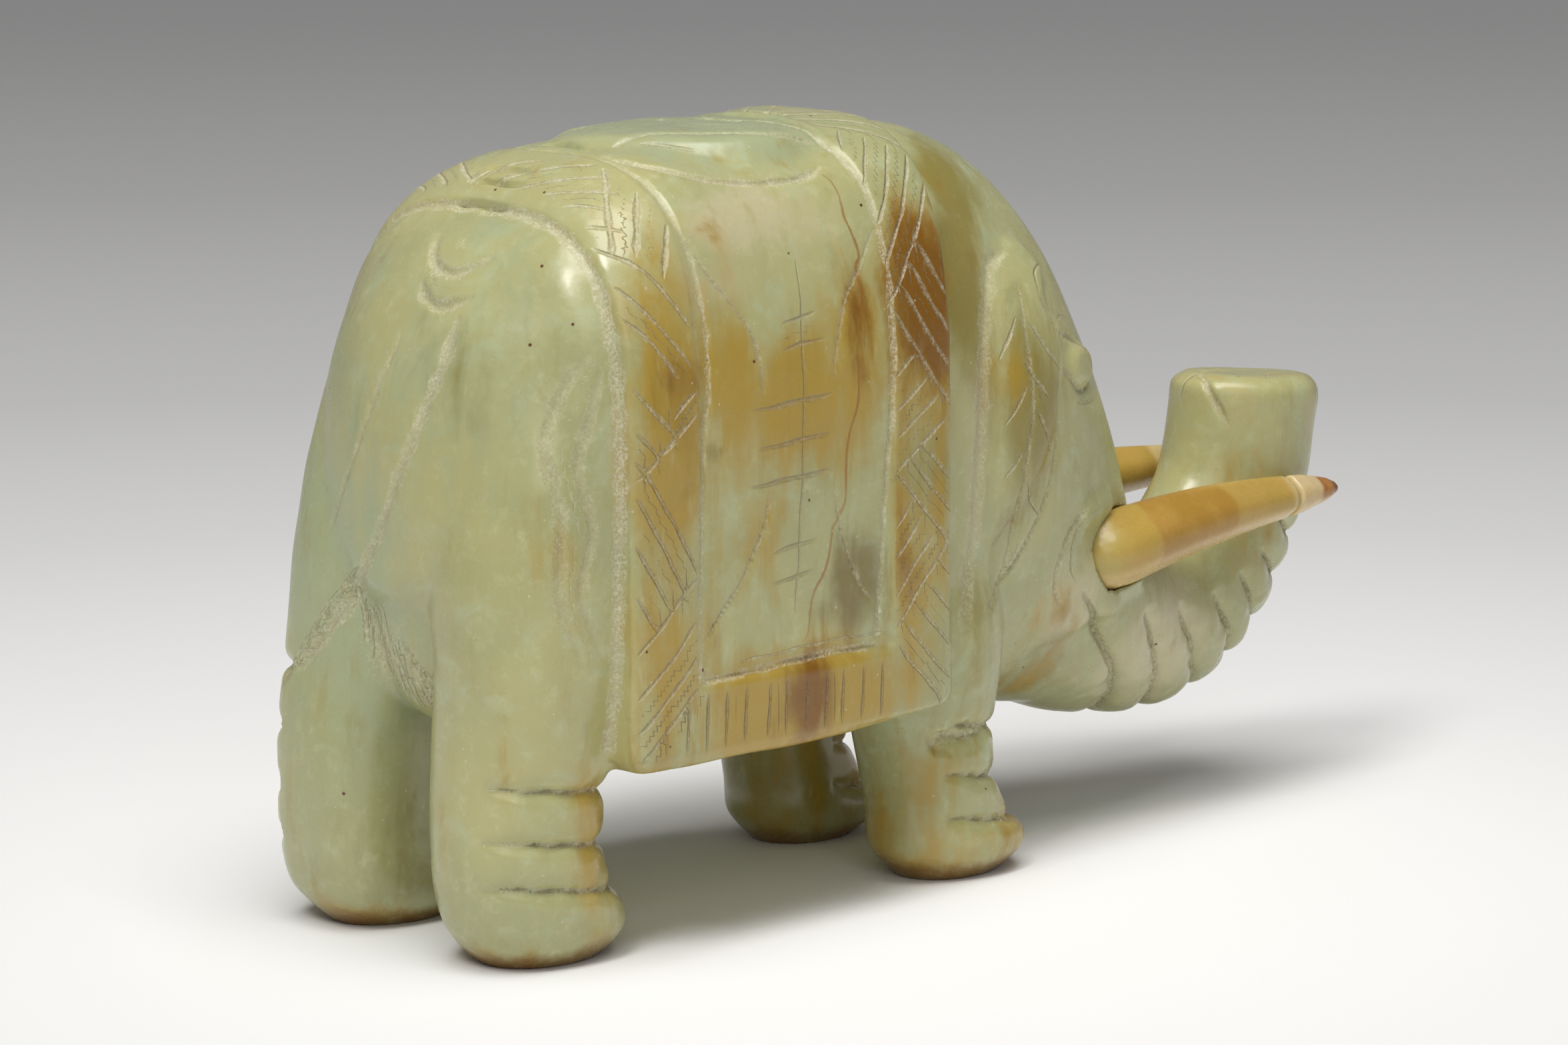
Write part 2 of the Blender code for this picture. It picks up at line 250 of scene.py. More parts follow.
def hind_leg(bm, side):
    """Hind leg with its rounded foot and forward toe, rising into the haunch."""
    x, y = HIND_LEG[0] * side, HIND_LEG[1]
    splay, power = (0.9, 2.9) if side == LEFT else (0.0, 2.3)
    low_x, low_y = x + splay, y + splay
    upright_loft(bm, [
        (low_x, low_y - 2.4, -0.8, 3.9, 5.0, 2.0),
        (low_x, low_y - 2.5, 0.4, 5.0, 6.4, 2.1),
        (low_x, low_y - 2.5, 1.6, 6.1, 7.7, 2.2),
        (low_x, low_y - 2.1, 3.6, 7.1, 8.6, power),
        (low_x, low_y - 0.9, 6.6, 7.4, 8.2, power),
        (low_x, low_y, 10.5, 7.3, 7.7, power),
        (low_x, low_y - 0.4, 18.0, 7.5, 7.9, power),
        (x + 0.6 * side, y - 1.6, 26.0, 8.1, 8.9, power),
        (x + 0.2 * side, y - 2.9, 36.0, 8.8, 9.9, 2.3),
        (x - 0.2 * side, y - 4.4, 47.0, 8.5, 9.2, 2.2),
        (x - 1.0 * side, y - 5.6, 56.0, 7.2, 7.6, 2.2),
    ])


def leg_web(bm):
    """Stone left between the hind legs below the rump."""
    upright_loft(bm, [
        (0.0, 52.0, 20.6, 2.4, 2.4, 2.0),
        (0.0, 52.6, 23.6, 6.0, 4.6, 2.0),
        (0.0, 52.6, 31.0, 9.0, 6.4, 2.0),
        (0.0, 51.6, 41.0, 10.0, 6.8, 2.0),
    ])


def foreleg(bm, side):
    """Foreleg with its rounded foot and forward toe."""
    x = FORELEG_X * side
    y = LEFT_FORELEG_Y if side == LEFT else RIGHT_FORELEG_Y
    upright_loft(bm, [
        (x, y - 2.2, -0.8, 3.6, 4.4, 2.0),
        (x, y - 2.4, 0.4, 4.6, 6.0, 2.1),
        (x, y - 2.7, 1.6, 5.7, 7.4, 2.2),
        (x, y - 2.5, 3.4, 6.5, 8.5, 2.2),
        (x, y - 1.2, 6.2, 6.3, 7.2, 2.2),
        (x, y, 10.0, 6.2, 6.6, 2.2),
        (x, y + 0.8, 16.0, 6.4, 7.4, 2.2),
        (x, y + 1.6, 24.0, 7.2, 9.0, 2.2),
        (x, y + 2.0, 36.0, 6.0, 8.0, 2.1),
    ])


def ear(bm, side):
    """Leaf-shaped ear lying flat against the side of the head."""
    upright_loft(bm, [
        (12.6 * side, 4.0, 24.0, 0.8, 0.8, 2.0),
        (14.9 * side, 1.8, 31.5, 1.5, 2.8, 2.0),
        (16.0 * side, -1.8, 40.0, 1.9, 5.0, 2.0),
        (15.9 * side, -3.6, 49.0, 1.9, 6.2, 2.0),
        (14.6 * side, -4.4, 57.0, 1.9, 5.4, 2.0),
        (12.6 * side, -4.4, 62.0, 1.2, 2.6, 2.0),
    ])


def cheek(bm, side):
    """Swelling of the lip that holds a tusk's root."""
    add_loft(bm, swept_rings(spline([
        (8.0 * side, -9.0, 27.0, 6.6, 8.0),
        (8.4 * side, -15.0, 27.4, 5.8, 7.0),
        (8.6 * side, -21.0, 27.8, 4.6, 6.2),
        (8.8 * side, -26.0, 28.0, 3.2, 4.6),
    ], 6), circle(36)))


def tail(bm):
    """Tail in low relief, from the top of the rump across to the left hind leg."""
    add_loft(bm, swept_rings(spline([
        (-1.6, 52.6, 60.0, 1.4, 1.2),
        (0.5, 56.0, 56.0, 3.0, 1.8),
        (5.0, 57.8, 48.0, 4.4, 2.0),
        (9.6, 55.6, 38.0, 5.0, 2.2),
        (13.0, 55.6, 29.0, 3.6, 2.2),
        (14.6, 56.0, 23.5, 1.2, 1.2),
    ], 8), circle(36)))


TUSK_ROOT, TUSK_TIP = (12.2, -16.8, 29.0), (9.2, -56.6, 32.0)
LEFT_TUSK_LIFT = 1.0            # the left tusk sits this much higher in its cheek
TUSK_BOW = 0.9
TUSK_RADII = [(0.0, 1.9), (0.03, 3.3), (0.08, 3.95), (0.15, 4.1), (0.45, 3.35), (0.72, 2.5),
              (0.86, 2.05), (0.96, 1.25), (1.0, 0.6)]
BOND = (0.80, 0.81)             # shares of the right tusk's length where its two stones meet
SOCKET_CLEARANCE = 0.04


def tusk_rows(side, start, end, swell=0.0):
    """Return the sections of a tusk between two shares of its length."""
    lift = LEFT_TUSK_LIFT if side == LEFT else 0.0
    root = Vector((TUSK_ROOT[0] * side, TUSK_ROOT[1], TUSK_ROOT[2] + lift))
    tip = Vector((TUSK_TIP[0] * side, TUSK_TIP[1], TUSK_TIP[2] + lift))
    shares, radii = zip(*TUSK_RADII)
    rows = []
    for share in np.linspace(start, end, 41):
        place = root.lerp(tip, share)
        place.z += TUSK_BOW * math.sin(math.pi * share)
        size = float(np.interp(share, shares, radii)) + swell
        rows.append((place.x, place.y, place.z, size * 0.9, size))
    return rows


def ring_faces(rings, count, first=0):
    """Return the four-sided faces between `rings` rings of `count` vertices."""
    faces = []
    for low in range(first, first + (rings - 1) * count, count):
        for i in range(count):
            j = (i + 1) % count
            faces.append((low + i, low + j, low + count + j, low + count + i))
    return faces


def new_object(name, vertices, faces):
    """Return a linked object from vertices in millimetres and faces."""
    mesh = bpy.data.meshes.new(name)
    mesh.from_pydata([Vector(v) * MM for v in vertices], [], faces)
    made = bpy.data.objects.new(name, mesh)
    bpy.context.scene.collection.objects.link(made)
    return made


def loft_object(name, bm):
    """Return a linked object from a mesh drawn in millimetres, with its faces turned out."""
    bmesh.ops.recalc_face_normals(bm, faces=bm.faces)
    bmesh.ops.scale(bm, verts=bm.verts, vec=(MM, MM, MM))
    mesh = bpy.data.meshes.new(name)
    bm.to_mesh(mesh)
    bm.free()
    made = bpy.data.objects.new(name, mesh)
    bpy.context.scene.collection.objects.link(made)
    return made


def apply_modifiers(thing):
    """Replace an object's mesh by its modified mesh."""
    ready = thing.evaluated_get(bpy.context.evaluated_depsgraph_get())
    mesh = bpy.data.meshes.new_from_object(ready)
    thing.modifiers.clear()
    thing.data = mesh


def stone_block():
    """Return the fused, still rough animal."""
    bm = bmesh.new()
    torso(bm)
    saddle_cloth(bm)
    saddle_pad(bm)
    head(bm)
    add_loft(bm, swept_rings(spline(TRUNK_PATH, 8), circle(48)))
    tail(bm)
    leg_web(bm)
    for side in (RIGHT, LEFT):
        hind_leg(bm, side)
        foreleg(bm, side)
        ear(bm, side)
        cheek(bm, side)
    block = loft_object("jade_elephant", bm)
    fuse = block.modifiers.new("one skin", "REMESH")
    fuse.mode = "VOXEL"
    fuse.voxel_size = VOXEL * MM
    apply_modifiers(block)
    return block


def coordinates(mesh):
    """Return a mesh's vertices in millimetres."""
    found = np.empty(len(mesh.vertices) * 3, np.float32)
    mesh.vertices.foreach_get("co", found)
    return found.reshape(-1, 3).astype(float) / MM


def set_coordinates(mesh, points):
    """Move a mesh's vertices to points in millimetres."""
    mesh.vertices.foreach_set("co", (points * MM).astype(np.float32).ravel())
    mesh.update()


def normals(mesh):
    """Return a mesh's vertex normals."""
    found = np.empty(len(mesh.vertices) * 3, np.float32)
    mesh.vertex_normals.foreach_get("vector", found)
    return found.reshape(-1, 3).astype(float)


def neighbour_mean(points, edges, degree):
    """Return, for every vertex, the mean of its neighbours' rows."""
    total = np.zeros_like(points)
    for axis in range(points.shape[1]):
        for a, b in ((0, 1), (1, 0)):
            total[:, axis] += np.bincount(edges[:, a], points[edges[:, b], axis], len(points))
    return total / degree[:, None]


def mesh_edges(mesh):
    """Return vertex pairs, and how many edges meet at each vertex."""
    edges = np.empty(len(mesh.edges) * 2, np.int32)
    mesh.edges.foreach_get("vertices", edges)
    edges = edges.reshape(-1, 2)
    degree = np.bincount(edges.ravel(), minlength=len(mesh.vertices)).astype(float)
    return edges, degree


def polish(mesh, rounds):
    """Smooth the stepped skin and flatten the soles."""
    edges, degree = mesh_edges(mesh)
    points = coordinates(mesh)
    for _ in range(rounds):
        points += 0.5 * (neighbour_mean(points, edges, degree) - points)
    points[:, 2] = np.maximum(points[:, 2], 0.0)
    set_coordinates(mesh, points)


# ---------------------------------------------------------------- engraving

def mirrored(side, line):
    """Return a line of x and y on the chosen side of the animal."""
    return [(side * x, y) for x, y in line]


class Skin:
    """The polished block, with ways of naming places on it."""

    def __init__(self, mesh):
        self.tree = BVHTree.FromPolygons(
            [Vector(p) for p in coordinates(mesh)], [tuple(f.vertices) for f in mesh.polygons])

    def towards(self, centre, outward):
        """Return where the skin is, coming in from outside along `outward` to `centre`."""
        outward = Vector(outward).normalized()
        centre = Vector(centre)
        return self.tree.ray_cast(centre + outward * OUTSIDE, -outward)[0]

    def flank(self, side, y, z):
        """Place on one side, level with y and z."""
        return self.towards((0.0, y, z), (side, 0.0, 0.0))

    def wrap(self, side, y, up):
        """Place on the cloth: `up` is a height to the waist, then a length over the back."""
        if up <= WAIST:
            return self.flank(side, y, up)
        bend = (up - WAIST) / OVER_BACK * math.pi / 2
        return self.towards((0.0, y, WAIST), (side * math.cos(bend), 0.0, math.sin(bend)))

    def behind(self, x, z):
        """Place seen from behind."""
        return self.towards((x, 0.0, z), (0.0, 1.0, 0.0))

    def above(self, x, y):
        """Place seen from above."""
        return self.towards((x, y, 0.0), (0.0, 0.0, 1.0))

    def leg(self, side, hind, turn, z):
        """Place on a leg: `turn` is degrees from its front round its outer side."""
        if hind:
            axis = (HIND_LEG[0] * side, HIND_LEG[1] - 1.0, z)
        else:
            axis = (FORELEG_X * side, LEFT_FORELEG_Y if side == LEFT else RIGHT_FORELEG_Y, z)
        turn = math.radians(turn)
        outward = Vector((side * math.sin(turn), -math.cos(turn), 0.0))
        return self.tree.ray_cast(Vector(axis) + outward * OUTSIDE_LEG, -outward)[0]

    def settle(self, point):
        """Return the nearest place on the skin."""
        return self.tree.find_nearest(point)[0]


class Engraving:
    """A family of engraved lines, held as points along each of them."""

    def __init__(self, name, skin, depth, lobed=False):
        self.name, self.skin, self.depth, self.lobed = name, skin, depth, lobed
        self.places, self.headings, self.half_widths, self.strengths, self.tints = [], [], [], [], []

    def cut(self, points, half_width, tint=1.0, strength=1.0, ramp=1.6, wander=0.05):
        """Cut one line through points on the skin.

        `tint` is 1 for chalk and 0 for brown stain, `ramp` is the length over which each end
        fades, and `wander` is how far the hand strays.
        """
        points = [p for p in points if p is not None]
        if len(points) < 2:
            return
        length = sum((q - p).length for p, q in zip(points, points[1:]))
        steps = max(2, round(length / SAMPLE_STEP / (len(points) - 1)))
        rows = [Vector(r) for r in spline([tuple(p) for p in points], steps)]
        phase = rng.uniform(0.0, 2 * math.pi, 2)
        for i, place in enumerate(rows):
            ahead, back = rows[min(i + 1, len(rows) - 1)], rows[max(i - 1, 0)]
            heading = (ahead - back).normalized()
            run = length * i / (len(rows) - 1)
            place = place + Vector((
                0.0, wander * math.sin(run * 0.9 + phase[0]), wander * math.sin(run * 1.3 + phase[1])))
            end = min(1.0, max(0.0, min(run, length - run)) / min(ramp, length / 2))
            swell = 0.86 + 0.14 * math.sin(run * 1.7 + phase[1])
            self.places.append(self.skin.settle(place))
            self.headings.append(heading)
            self.half_widths.append(half_width * swell * (0.35 + 0.65 * math.sqrt(end)))
            self.strengths.append(strength * math.sqrt(end))
            self.tints.append(tint)

    def flank(self, side, line, *style):
        """Cut a line given as y and z on one flank."""
        self.cut([self.skin.flank(side, *p) for p in line], *style)

    def wrap(self, side, line, *style):
        """Cut a line given as y and a height or length up the cloth."""
        self.cut([self.skin.wrap(side, *p) for p in line], *style)

    def behind(self, line, *style):
        """Cut a line given as x and z, seen from behind."""
        self.cut([self.skin.behind(*p) for p in line], *style)

    def above(self, line, *style):
        """Cut a line given as x and y, seen from above."""
        self.cut([self.skin.above(*p) for p in line], *style)

    def measure(self, points, facing):
        """Return, per vertex, signed distance in half widths, strength, and tint."""
        tree = KDTree(len(self.places))
        for i, place in enumerate(self.places):
            tree.insert(place, i)
        tree.balance()
        nearest, gap = np.zeros(len(points), int), np.full(len(points), 99.0)
        for i, point in enumerate(points):
            _, nearest[i], gap[i] = tree.find(point)
        places = np.array(self.places)[nearest]
        headings = np.array(self.headings)[nearest]
        half = np.array(self.half_widths)[nearest]
        sideways = np.cross(headings, facing)
        offset = np.einsum("ij,ij->i", sideways, points - places)
        shown = np.clip((half + REACH_PAST_LINE - gap) / 0.2, 0.0, 1.0)
        strength = np.array(self.strengths)[nearest] * shown
        return offset / half, strength, np.array(self.tints)[nearest]

    def profile(self, across):
        """Return how deep the cut is at a distance: a plain V, or the cusp between two round lobes."""
        near = np.maximum(0.0, 1.0 - np.abs(across))
        return 1.0 - np.sqrt(1.0 - near * near) if self.lobed else near ** 1.3


def weave(rear, front, groups):
    """Return herringbone hatching between two edges as (y, up) pairs of line ends.

    Each group is a run of parallel lines: the edge that they start from, the first one's
    height, their spacing, their number, and their lean. A group's first line crosses the whole
    band, and the others run on until they meet the first line of the next group.
    """
    found = []
    for place, (edge, first, spacing, number, lean) in enumerate(groups):
        y, far = (rear, front) if edge == "rear" else (front, rear)
        barrier = groups[place + 1] if place + 1 < len(groups) else None
        for i in range(number):
            up = first + spacing * i + rng.uniform(-0.3, 0.3)
            share = 1.0
            if barrier and i > 0:
                start = rear if barrier[0] == "rear" else front
                for step in range(1, WEAVE_STEPS + 1):
                    at = y + (far - y) * step / WEAVE_STEPS
                    height = up + lean * abs(at - y)
                    limit = barrier[1] + barrier[4] * abs(at - start)
                    if limit - height < WEAVE_GAP:
                        share = max(0.12, (step - 1) / WEAVE_STEPS)
                        break
            end = y + (far - y) * share * rng.uniform(0.93, 1.0)
            found.append(((y, up), (end, up + lean * abs(end - y))))
    return found


def descending(edge, heights, lean, reach):
    """Return lines that come down from one edge of the rear border, each to its own reach."""
    rear, front = 47.9, 41.0
    start, across = (rear, front - rear) if edge == "rear" else (front, rear - front)
    return [((start, up), (start + across * share, up - lean * abs(across) * share))
            for up, share in zip(heights, reach)]


WEAVE_STEPS = 40
WEAVE_GAP = 0.25                # height left between a hatch line and the line that stops it
FRONT_WEAVE = [
    ("front", 18.6, 3.2, 5, 0.98),
    ("rear", 27.4, 3.3, 4, 1.05),
    ("front", 34.6, 3.1, 3, 1.05),
    ("rear", 42.6, 3.7, 4, 0.9),
    ("front", 50.0, 4.0, 4, 1.5),
    ("rear", 61.6, 3.4, 5, 1.35),
    ("front", 74.6, 2.6, 4, 0.8),
]
REAR_CUTS = (
    descending("front", (25.3, 28.2, 31.4, 35.4), 0.93, (0.95, 1.0, 1.0, 1.0))
    + descending("rear", (34.3, 38.9, 43.3, 47.6), 1.72, (0.28, 0.5, 0.85, 1.0))
    + descending("front", (52.2, 54.6), 0.98, (1.0, 0.42))
    + descending("rear", (50.8, 55.4, 62.4, 65.4, 69.6), 1.3, (0.36, 0.64, 0.72, 0.95, 1.0))
)
BACK_ARCS = [
    ((-4.0, 46.6), (-2.2, 44.7), (2.3, 43.0)),
    ((-1.0, 46.3), (3.8, 44.6), (8.1, 41.6)),
    ((3.2, 46.9), (7.1, 45.1), (10.3, 42.9)),
    ((7.3, 46.9), (10.3, 45.4), (13.2, 43.3)),
    ((10.3, 47.2), (11.9, 46.3), (14.0, 45.1)),
    ((13.9, 47.4), (15.1, 46.4), (16.3, 45.1)),
]
BACK_CROSSINGS = [
    ((9.0, 41.6), (14.1, 45.2), (17.1, 47.1)),
    ((13.8, 41.6), (16.3, 43.8), (17.9, 45.2)),
    ((16.8, 40.9), (18.2, 42.1), (19.2, 43.2)),
]


def hatch_borders(fine, side):
    """Herringbone on the front and rear borders of the cloth."""
    front = [(a, b, 0.7) for a, b in weave(rear=16.0, front=8.6, groups=FRONT_WEAVE)]
    rear = [(a, b, 0.7 if a[1] > 52.0 else 0.5) for a, b in REAR_CUTS]
    for a, b, tint in front + rear:
        middle = ((a[0] + b[0]) / 2, (a[1] + b[1]) / 2 + rng.uniform(-0.2, 0.2))
        fine.wrap(side, (a, middle, b), 0.3, tint)


def hatch_back(fine, cross, side):
    """Long arcs and broad crossing cuts where the rear border bends over the back."""
    for arc in (BACK_ARCS if side == RIGHT else BACK_ARCS[2:]):
        fine.above(mirrored(side, arc), 0.36, 0.95)
    for line in BACK_CROSSINGS:
        cross.above(mirrored(side, line), 0.42, 0.9)


def cloth_edges(edge, broad, side):
    """Grooves that frame the cloth and its two borders."""
    heights = np.linspace(19.5, RIDGE, 24)
    edge.wrap(side, [(CLOTH_REAR + 0.3, h) for h in heights], 0.75, 0.95, 1.0, 0.5)
    front_edge = [(CLOTH_FRONT + max(0.0, 24.0 - h) * 0.45, h) for h in heights if h > 21.0]
    edge.wrap(side, front_edge, 0.42, 0.6, 0.8, 0.5)
    rear_line = [(40.9, 25.7), (40.5, 36.0), (40.1, 48.0), (39.2, 55.0), (39.2, 63.0), (39.8, 72.0),
                 (40.2, 80.0), (40.6, RIDGE)]
    broad.wrap(side, spline(rear_line, 3), 0.4, 1.0, 0.8, 0.5)
    front_line = [(18.4, 26.6), (17.6, 35.0), (16.7, 46.0), (16.2, 56.0), (16.0, 66.0), (16.6, 75.0),
                  (18.4, 82.0), (20.4, RIDGE)]
    broad.wrap(side, spline(front_line, 3), 0.42, 1.0, 0.85, 0.5)


def fringe(fine, broad, side):
    """Double line and hanging threads along the hem."""
    top = [(40.6, 25.5), (36.0, 25.8), (30.0, 26.1), (24.0, 26.3), (18.2, 26.2)]
    broad.flank(side, top, 0.45, 0.95, 0.9)
    fine.flank(side, [(y - 0.4, z + 1.1) for y, z in top[1:]], 0.2, 0.8, 0.7)
    for i in range(12):
        y = 44.6 - 2.43 * i + rng.uniform(-0.25, 0.25)
        high = 24.6 - max(0.0, y - 41.0) * 0.6 - max(0.0, 17.0 - y) * 0.3
        fine.flank(side, ((y, high), (y + 0.1, 22.0), (y + 0.2, 19.4)), 0.26, 0.25)


def stitching(fine, cross, side):
    """Upright seam with cross stitches in the middle panel."""
    seam = ((26.8, 63.0), (27.4, 55.0), (27.8, 45.0), (28.2, 36.0), (28.8, 30.4))
    cross.flank(side, seam, 0.2, 0.45, 0.6, 5.0)
    bars = [(29.6, 25.5, 57.6), (30.0, 24.6, 55.2), (34.0, 23.8, 50.0), (33.3, 24.2, 46.4),
            (34.3, 24.2, 43.0), (31.4, 26.0, 36.7), (31.6, 26.4, 33.8)]
    for rear, front, z in bars:
        bar = ((rear, z - 0.3), ((rear + front) / 2, z + 0.1), (front, z + 0.4))
        fine.flank(side, bar, 0.32, 0.3, 1.0, 3.0)


def panel_folds(broad, side):
    """Drapery folds that curl in from both borders towards the seam."""
    folds = [
        [(39.2, 65.0), (37.8, 62.3), (35.9, 60.0), (34.2, 57.6), (33.0, 55.0), (32.5, 51.0)],
        [(31.9, 43.2), (32.3, 39.8), (33.8, 36.8), (35.6, 34.2), (37.9, 31.6), (40.5, 28.8)],
        [(16.3, 65.2), (19.2, 61.8), (21.6, 58.8), (23.0, 55.2), (23.6, 51.5)],
        [(23.9, 42.7), (23.2, 38.8), (22.0, 35.0), (20.4, 32.2), (18.9, 30.2)],
    ]
    for fold in folds:
        broad.flank(side, fold, 0.3, 0.7, 0.7, 3.0)


def pad_lines(broad, fine):
    """Leaf outline and slits of the pad on the back."""
    upper = [(4.8, 37.4), (5.4, 33.0), (7.2, 28.6), (10.0, 23.6), (10.6, 20.8), (11.0, 17.6)]
    lower = [(5.6, 39.4), (9.6, 38.8), (12.4, 36.0), (13.8, 32.2), (14.3, 28.4), (14.4, 22.8), (13.6, 19.4)]
    slits = (((6.3, 35.0), (7.8, 33.4), (9.5, 31.2)), ((1.7, 25.8), (3.4, 24.6), (5.4, 23.0)))
    for side in (RIGHT, LEFT):
        broad.above(mirrored(side, upper), 0.5, 0.8, 0.8, 3.0)
        broad.above(mirrored(side, lower), 0.6, 0.9, 0.9, 3.0)
        for slit in slits:
            fine.above(mirrored(side, slit), 0.42, 0.9, 0.9, 2.0)


def rump_lines(broad, fine):
    """Crescents at the root of the tail, the tail's edges, and the hair at its end."""
    broad.behind(((1.6, 65.4), (0.2, 63.6), (-2.2, 62.5), (-4.6, 62.6), (-7.2, 64.2)), 0.9, 0.8, 0.9, 3.0)
    broad.behind(((-0.2, 61.8), (-1.8, 60.2), (-4.4, 59.6), (-7.6, 60.6)), 0.9, 0.8, 0.9, 3.0)
    broad.behind(((-0.3, 57.1), (0.8, 53.6), (2.4, 48.6), (5.4, 43.0), (8.8, 38.0)), 0.42, 0.85, 0.7, 4.0)
    near_edge = [(-7.0, 59.0), (-6.8, 55.0), (-5.8, 51.6), (-4.7, 47.9), (-2.6, 43.6), (0.6, 38.0),
                 (3.4, 34.4), (6.4, 31.0), (9.8, 27.4), (13.2, 24.2)]
    broad.behind(near_edge, 0.85, 0.95, 0.9, 3.0)
    for i in range(7):
        x, z = 3.4 + 1.45 * i, 35.4 - 1.75 * i
        fine.behind(((x, z), (x + 2.6, z - 1.6 + 0.15 * i), (x + 4.6, z - 4.2)), 0.26, 0.85, 0.8)


def haunch_folds(broad, side):
    """Two long wrinkles down the back of the haunch, beside the cloth."""
    inner = [(50.8, 56.3), (53.2, 52.0), (54.8, 47.6), (54.2, 42.0), (54.8, 35.0), (52.4, 28.0)]
    outer = [(49.9, 55.0), (51.4, 49.8), (52.4, 45.6), (51.4, 40.6), (52.6, 34.8), (50.4, 28.8)]
    broad.flank(side, inner, 0.9, 0.8, 0.55, 6.0)
    broad.flank(side, outer, 0.85, 0.8, 0.55, 6.0)


def leg_rings(fold, side, hind):
    """Wrinkles above the foot, deepest at the front and fading round the outer side.

    The left hind leg has one more, high up at its back.
    """
    skin = fold.skin
    strength, fade = 1.0, 5.0
    if not hind:
        heights, behind = (15.6, 10.7, 6.4), 130
    elif side == LEFT:
        heights, behind = (18.0, 12.4, 7.6), 160
        strength, fade = 1.3, 2.0
    else:
        heights, behind = (16.6, 11.7, 7.5), 170
    for z in heights:
        turns = range(-80, behind, 18)
        ring = [skin.leg(side, hind, t, z - 1.0 * math.cos(math.radians(t))) for t in turns]
        fold.cut(ring, 2.2, 0.9, strength, fade)
    if hind and side == LEFT:
        fold.cut([skin.leg(side, hind, t, 24.4) for t in (100, 120, 140, 158)], 2.2, 0.9, strength, fade)


def ridge_notches(fold):
    """Nicks where the cloth's lines run over the ridge of the back."""
    for y in (48.5, 46.4, 44.8, 40.6, 38.6, 20.4, 16.4, 14.8):
        fold.above([(x, y) for x in (-3.8, 0.0, 3.8)], 0.75, 0.9, 1.0, 2.4)


def ear_lines(broad, fine, side):
    """Ear outline, midrib and veins."""
    back = [(-4.0, 61.4), (-1.2, 60.2), (0.2, 57.7), (1.7, 53.1), (2.4, 48.3), (2.7, 43.5),
            (3.1, 38.6), (3.4, 33.7), (3.9, 28.8), (4.4, 25.0)]
    front = [(-6.3, 57.0), (-7.6, 54.6), (-9.4, 52.4), (-9.8, 48.6), (-9.3, 43.6), (-8.6, 39.6),
             (-6.6, 35.2), (-3.4, 30.6), (1.0, 27.0)]
    lens = [(-6.3, 57.0), (-6.6, 59.0), (-8.4, 59.4), (-10.6, 57.4), (-11.2, 54.6), (-10.4, 52.2)]
    rib = [(-3.9, 58.4), (-3.6, 54.4), (-3.9, 50.2), (-4.0, 45.6), (-3.5, 41.4), (-3.0, 37.0),
           (-2.5, 33.0), (-1.6, 29.2), (0.8, 26.4)]
    broad.flank(side, back, 1.2, 0.95, 0.7, 4.0)
    broad.flank(side, front, 0.4, 0.7, 0.9, 3.0)
    fine.flank(side, lens, 0.3, 0.6, 0.8, 3.0)
    broad.flank(side, rib, 0.34, 0.8, 0.8, 3.0)
    veins = [(-2.6, 55.2, -0.2, 51.2), (-3.2, 48.4, -0.4, 44.8), (-2.9, 42.2, -0.4, 39.6),
             (-2.4, 36.2, 0.2, 33.0), (-4.2, 54.4, -8.6, 49.4), (-4.4, 46.2, -8.0, 41.4),
             (-3.8, 39.2, -6.6, 35.2), (-3.2, 50.8, -6.4, 47.0)]
    for y, z, far_y, far_z in veins:
        middle = ((y + far_y) / 2, (z + far_z) / 2 - 0.3)
        fine.flank(side, ((y, z), middle, (far_y, far_z)), 0.28, 0.8, 0.9)


def face_lines(broad, fine, side):
    """Eye, cheek folds and jaw line."""
    upper_lid = [(-9.6, 51.4), (-11.6, 52.2), (-14.0, 51.6), (-16.4, 49.6), (-17.4, 47.2)]
    lower_lid = [(-9.6, 51.4), (-11.0, 49.2), (-13.0, 47.4), (-15.2, 46.4), (-17.4, 47.2)]
    jaw = [(-15.0, 35.1), (-12.8, 33.3), (-11.2, 31.2), (-10.5, 29.2), (-10.8, 26.8), (-12.0, 25.0)]
    broad.flank(side, upper_lid, 0.4, 0.5, 0.9)
    broad.flank(side, lower_lid, 0.4, 0.5, 0.9)
    fine.flank(side, ((-9.8, 53.2), (-12.4, 54.0), (-15.2, 53.0)), 0.34, 0.6, 0.8)
    fine.flank(side, ((-13.6, 45.6), (-15.8, 45.2), (-18.2, 45.4)), 0.3, 0.6, 0.8)
    broad.flank(side, jaw, 0.5, 0.9, 0.9)
    fine.flank(side, ((-14.4, 34.0), (-12.9, 31.6), (-12.8, 29.6), (-13.6, 27.6)), 0.3, 0.8, 0.8)


